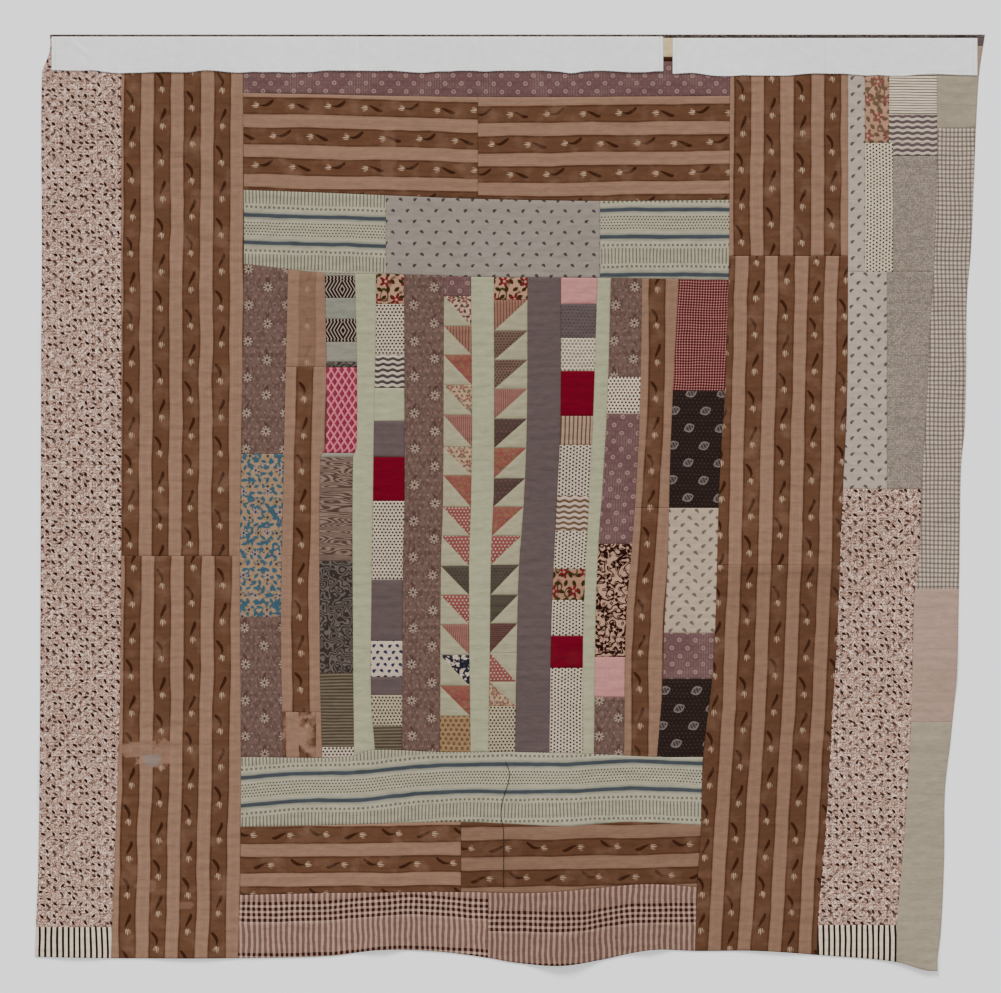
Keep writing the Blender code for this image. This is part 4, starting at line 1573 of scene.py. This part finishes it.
class COVERLET_OT_header_tapes(bpy.types.Operator):
    """Makes the two white cotton tapes on the head edge, each in its solid's place"""

    bl_idname = "coverlet.header_tapes"
    bl_label = "Header tapes"

    def execute(self, context):
        for name in TAPES:
            low, high = (np.array(corner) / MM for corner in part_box(name))
            width, length = high[1] - low[1], high[0] - low[0]
            s, t = np.meshgrid(spacing(length, 4.5, 1.5), spacing(width, 3.0, 1.5))
            x = low[0] + s * length
            y = high[1] - t * width + tape_wave(x) * t
            from_end = np.minimum(s, 1 - s) * length
            near = np.minimum(from_end, np.minimum(t, 1 - t) * width)
            stitched = TAPE_LINE_DEPTH * bell(near, *TAPE_LINE)
            ripple = unevenness(x, y, TAPE_RIPPLE) * np.clip(near / 10, 0, 1)
            lifted = 0.7 * np.clip((t - 0.9) / 0.1, 0, 1)
            edge, rise = TAPE_FACE
            face = low[2] + edge + rise * round_over(near, 1.5) - stitched + ripple + lifted
            face += TAPE_CREASE * crease_depth(x, y)
            under = np.full_like(x, low[2])
            shell = Shell()
            shell.add(x, y, face, under, (from_end, (1 - t) * width), [0])
            tape = shell.finish(name + "_woven", [cloth_material("tape")])
            join_body(tape)
            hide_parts(name)
        return {"FINISHED"}


def face_top(x_mm, y_mm):
    """Height of the highest made surface under each place, mm."""
    graph = bpy.context.evaluated_depsgraph_get()
    heights = []
    for x, y in zip(x_mm, y_mm):
        found = bpy.context.scene.ray_cast(graph, Vector((x * MM, y * MM, 1.0)), Vector((0, 0, -1)))
        heights.append(found[1].z / MM)
    return np.array(heights)


def add_thread(shell, path, radius):
    """One thread: a closed six-sided tube along a path in mm, narrowed at both ends."""
    path = np.asarray(path, float)
    ahead = np.gradient(path, axis=0)
    ahead /= np.linalg.norm(ahead, axis=1)[:, None]
    aside = np.stack((ahead[:, 1], -ahead[:, 0], np.zeros(len(path))), 1)
    aside /= np.linalg.norm(aside, axis=1)[:, None]
    above = np.cross(aside, ahead)
    size = np.full(len(path), radius)
    size[[0, -1]] = radius * 0.4
    turn = np.arange(6) * np.pi / 3
    ring = aside[:, None] * np.cos(turn)[None, :, None] + above[:, None] * np.sin(turn)[None, :, None]
    points = (path[:, None] + ring * size[:, None, None]).reshape(-1, 3)
    start = np.arange(len(path) - 1)[:, None] * 6 + np.arange(6)[None]
    after = np.arange(len(path) - 1)[:, None] * 6 + (np.arange(6)[None] + 1) % 6
    walls = np.stack((start, after, after + 6, start + 6), -1).reshape(-1, 4)
    last = (len(path) - 1) * 6
    caps = np.array([(3, 2, 1, 0), (5, 4, 3, 0), (0, 1, 2, 3), (0, 3, 4, 5)])
    caps[2:] += last
    quads = np.concatenate((walls, caps))
    shell.quads.append(quads + shell.count)
    shell.quad_slots.append(np.zeros(len(quads), int))
    shell.points.append(points * MM)
    shell.cloth.append(points[:, :2])
    shell.count += len(points)


class COVERLET_OT_threads(bpy.types.Operator):
    """Makes the small stitches along the foot edge of the tapes and the loose dark thread on the face"""

    bl_idname = "coverlet.threads"
    bl_label = "Threads"

    def execute(self, context):
        shell = Shell()
        for name in TAPES:
            low, high = (np.array(corner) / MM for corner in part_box(name))
            for x in np.arange(low[0] + 4, high[0] - 3, 8.5):
                lean = float(unevenness(np.array([x]), np.array([0.0]), STITCH_LEAN)[0])
                foot = low[1] + float(tape_wave(np.array([x]))[0])
                plan = np.array([(x - 0.8, foot + 3.2), (x, foot + 0.8), (x + 1.4 + lean, foot - 2.2)])
                heights = face_top(plan[:, 0], plan[:, 1]) + (-0.1, 0.3, -0.1)
                add_thread(shell, np.column_stack((plan, heights)), 0.35)
        stitches = shell.finish("tape_stitches", [cloth_material("tape")])
        join_body(stitches)
        share = np.linspace(0, 1, 61)
        x = smooth_curve([(part, x) for part, x, _ in LOOSE_THREAD], share)
        y = smooth_curve([(part, y) for part, _, y in LOOSE_THREAD], share)
        x_mm, y_mm = to_mm(x, y)
        shell = Shell()
        add_thread(shell, np.column_stack((x_mm, y_mm, face_top(x_mm, y_mm) + 0.35)), 0.8)
        join_body(shell.finish("loose_thread", [cloth_material("thread")]))
        return {"FINISHED"}


class COVERLET_OT_stage(bpy.types.Operator):
    """Makes the pale floor, the soft light and the camera straight above the face"""

    bl_idname = "coverlet.stage"
    bl_label = "Stage"

    def execute(self, context):
        floor_mesh = bpy.data.meshes.new("floor")
        corners = [(a * FLOOR_HALF, b * FLOOR_HALF, -FLOOR_DROP) for a, b in UNIT_SQUARE]
        floor_mesh.from_pydata(corners, [], [(0, 1, 2, 3)])
        floor = bpy.data.objects.new("floor", floor_mesh)
        material = bpy.data.materials.new("floor")
        material.use_nodes = True
        shader = material.node_tree.nodes["Principled BSDF"]
        for name in ("Base Color", "Emission Color"):
            shader.inputs[name].default_value = ink("floor")
        shader.inputs["Roughness"].default_value = 0.9
        shader.inputs["Emission Strength"].default_value = FLOOR_GLOW
        floor_mesh.materials.append(material)
        context.scene.collection.objects.link(floor)
        world = bpy.data.worlds.new("soft room")
        world.use_nodes = True
        background = world.node_tree.nodes["Background"]
        background.inputs["Color"].default_value = ROOM_COLOUR
        background.inputs["Strength"].default_value = ROOM_STRENGTH
        context.scene.world = world
        for name, place, power in LIGHTS:
            lamp = bpy.data.lights.new(name, "SUN")
            lamp.energy = power
            lamp.angle = LIGHT_SPREAD
            lamp_object = bpy.data.objects.new(name, lamp)
            lamp_object.location = place
            lamp_object.rotation_euler = Vector([-part for part in place]).to_track_quat("-Z", "Y").to_euler()
            context.scene.collection.objects.link(lamp_object)
        camera = bpy.data.cameras.new("camera")
        camera.sensor_width = SENSOR_WIDTH
        camera.lens = camera.sensor_width * CAMERA_HEIGHT / (PICTURE_WIDTH * STEP * MM)
        camera_object = bpy.data.objects.new("camera", camera)
        x, y = to_mm(PICTURE_WIDTH / 2, PICTURE_HEIGHT / 2)
        camera_object.location = (x * MM, y * MM, CAMERA_HEIGHT)
        context.scene.collection.objects.link(camera_object)
        context.scene.camera = camera_object
        return {"FINISHED"}


class COVERLET_PT_panel(bpy.types.Panel):
    """Lists the coverlet's pieces, sizes and colours"""

    bl_label = "Coverlet"
    bl_space_type = "VIEW_3D"
    bl_region_type = "UI"
    bl_category = "Coverlet"

    def draw(self, context):
        for operator in OPERATORS:
            self.layout.operator(operator.bl_idname)
        for group in (context.scene.coverlet_sizes, context.scene.coverlet_inks):
            for name in group.bl_rna.properties.keys():
                if name not in ("rna_type", "name"):
                    self.layout.prop(group, name)


OPERATORS = (
    COVERLET_OT_lining,
    COVERLET_OT_left_panels,
    COVERLET_OT_head_panels,
    COVERLET_OT_centre_columns,
    COVERLET_OT_foot_panels,
    COVERLET_OT_right_panels,
    COVERLET_OT_header_tapes,
    COVERLET_OT_threads,
    COVERLET_OT_stage,
)
CLASSES = (CoverletInks, CoverletSizes, *OPERATORS, COVERLET_PT_panel)


def register():
    """Registers the classes and adds the scene's settings."""
    for item in CLASSES:
        bpy.utils.register_class(item)
    bpy.types.Scene.coverlet_inks = bpy.props.PointerProperty(type=CoverletInks)
    bpy.types.Scene.coverlet_sizes = bpy.props.PointerProperty(type=CoverletSizes)


def unregister():
    """Takes the settings and the classes away again."""
    del bpy.types.Scene.coverlet_sizes
    del bpy.types.Scene.coverlet_inks
    for item in reversed(CLASSES):
        bpy.utils.unregister_class(item)


def main():
    """Makes every piece in order."""
    register()
    for operator in OPERATORS:
        space, name = operator.bl_idname.split(".")
        getattr(getattr(bpy.ops, space), name)()


if __name__ == "__main__":
    main()
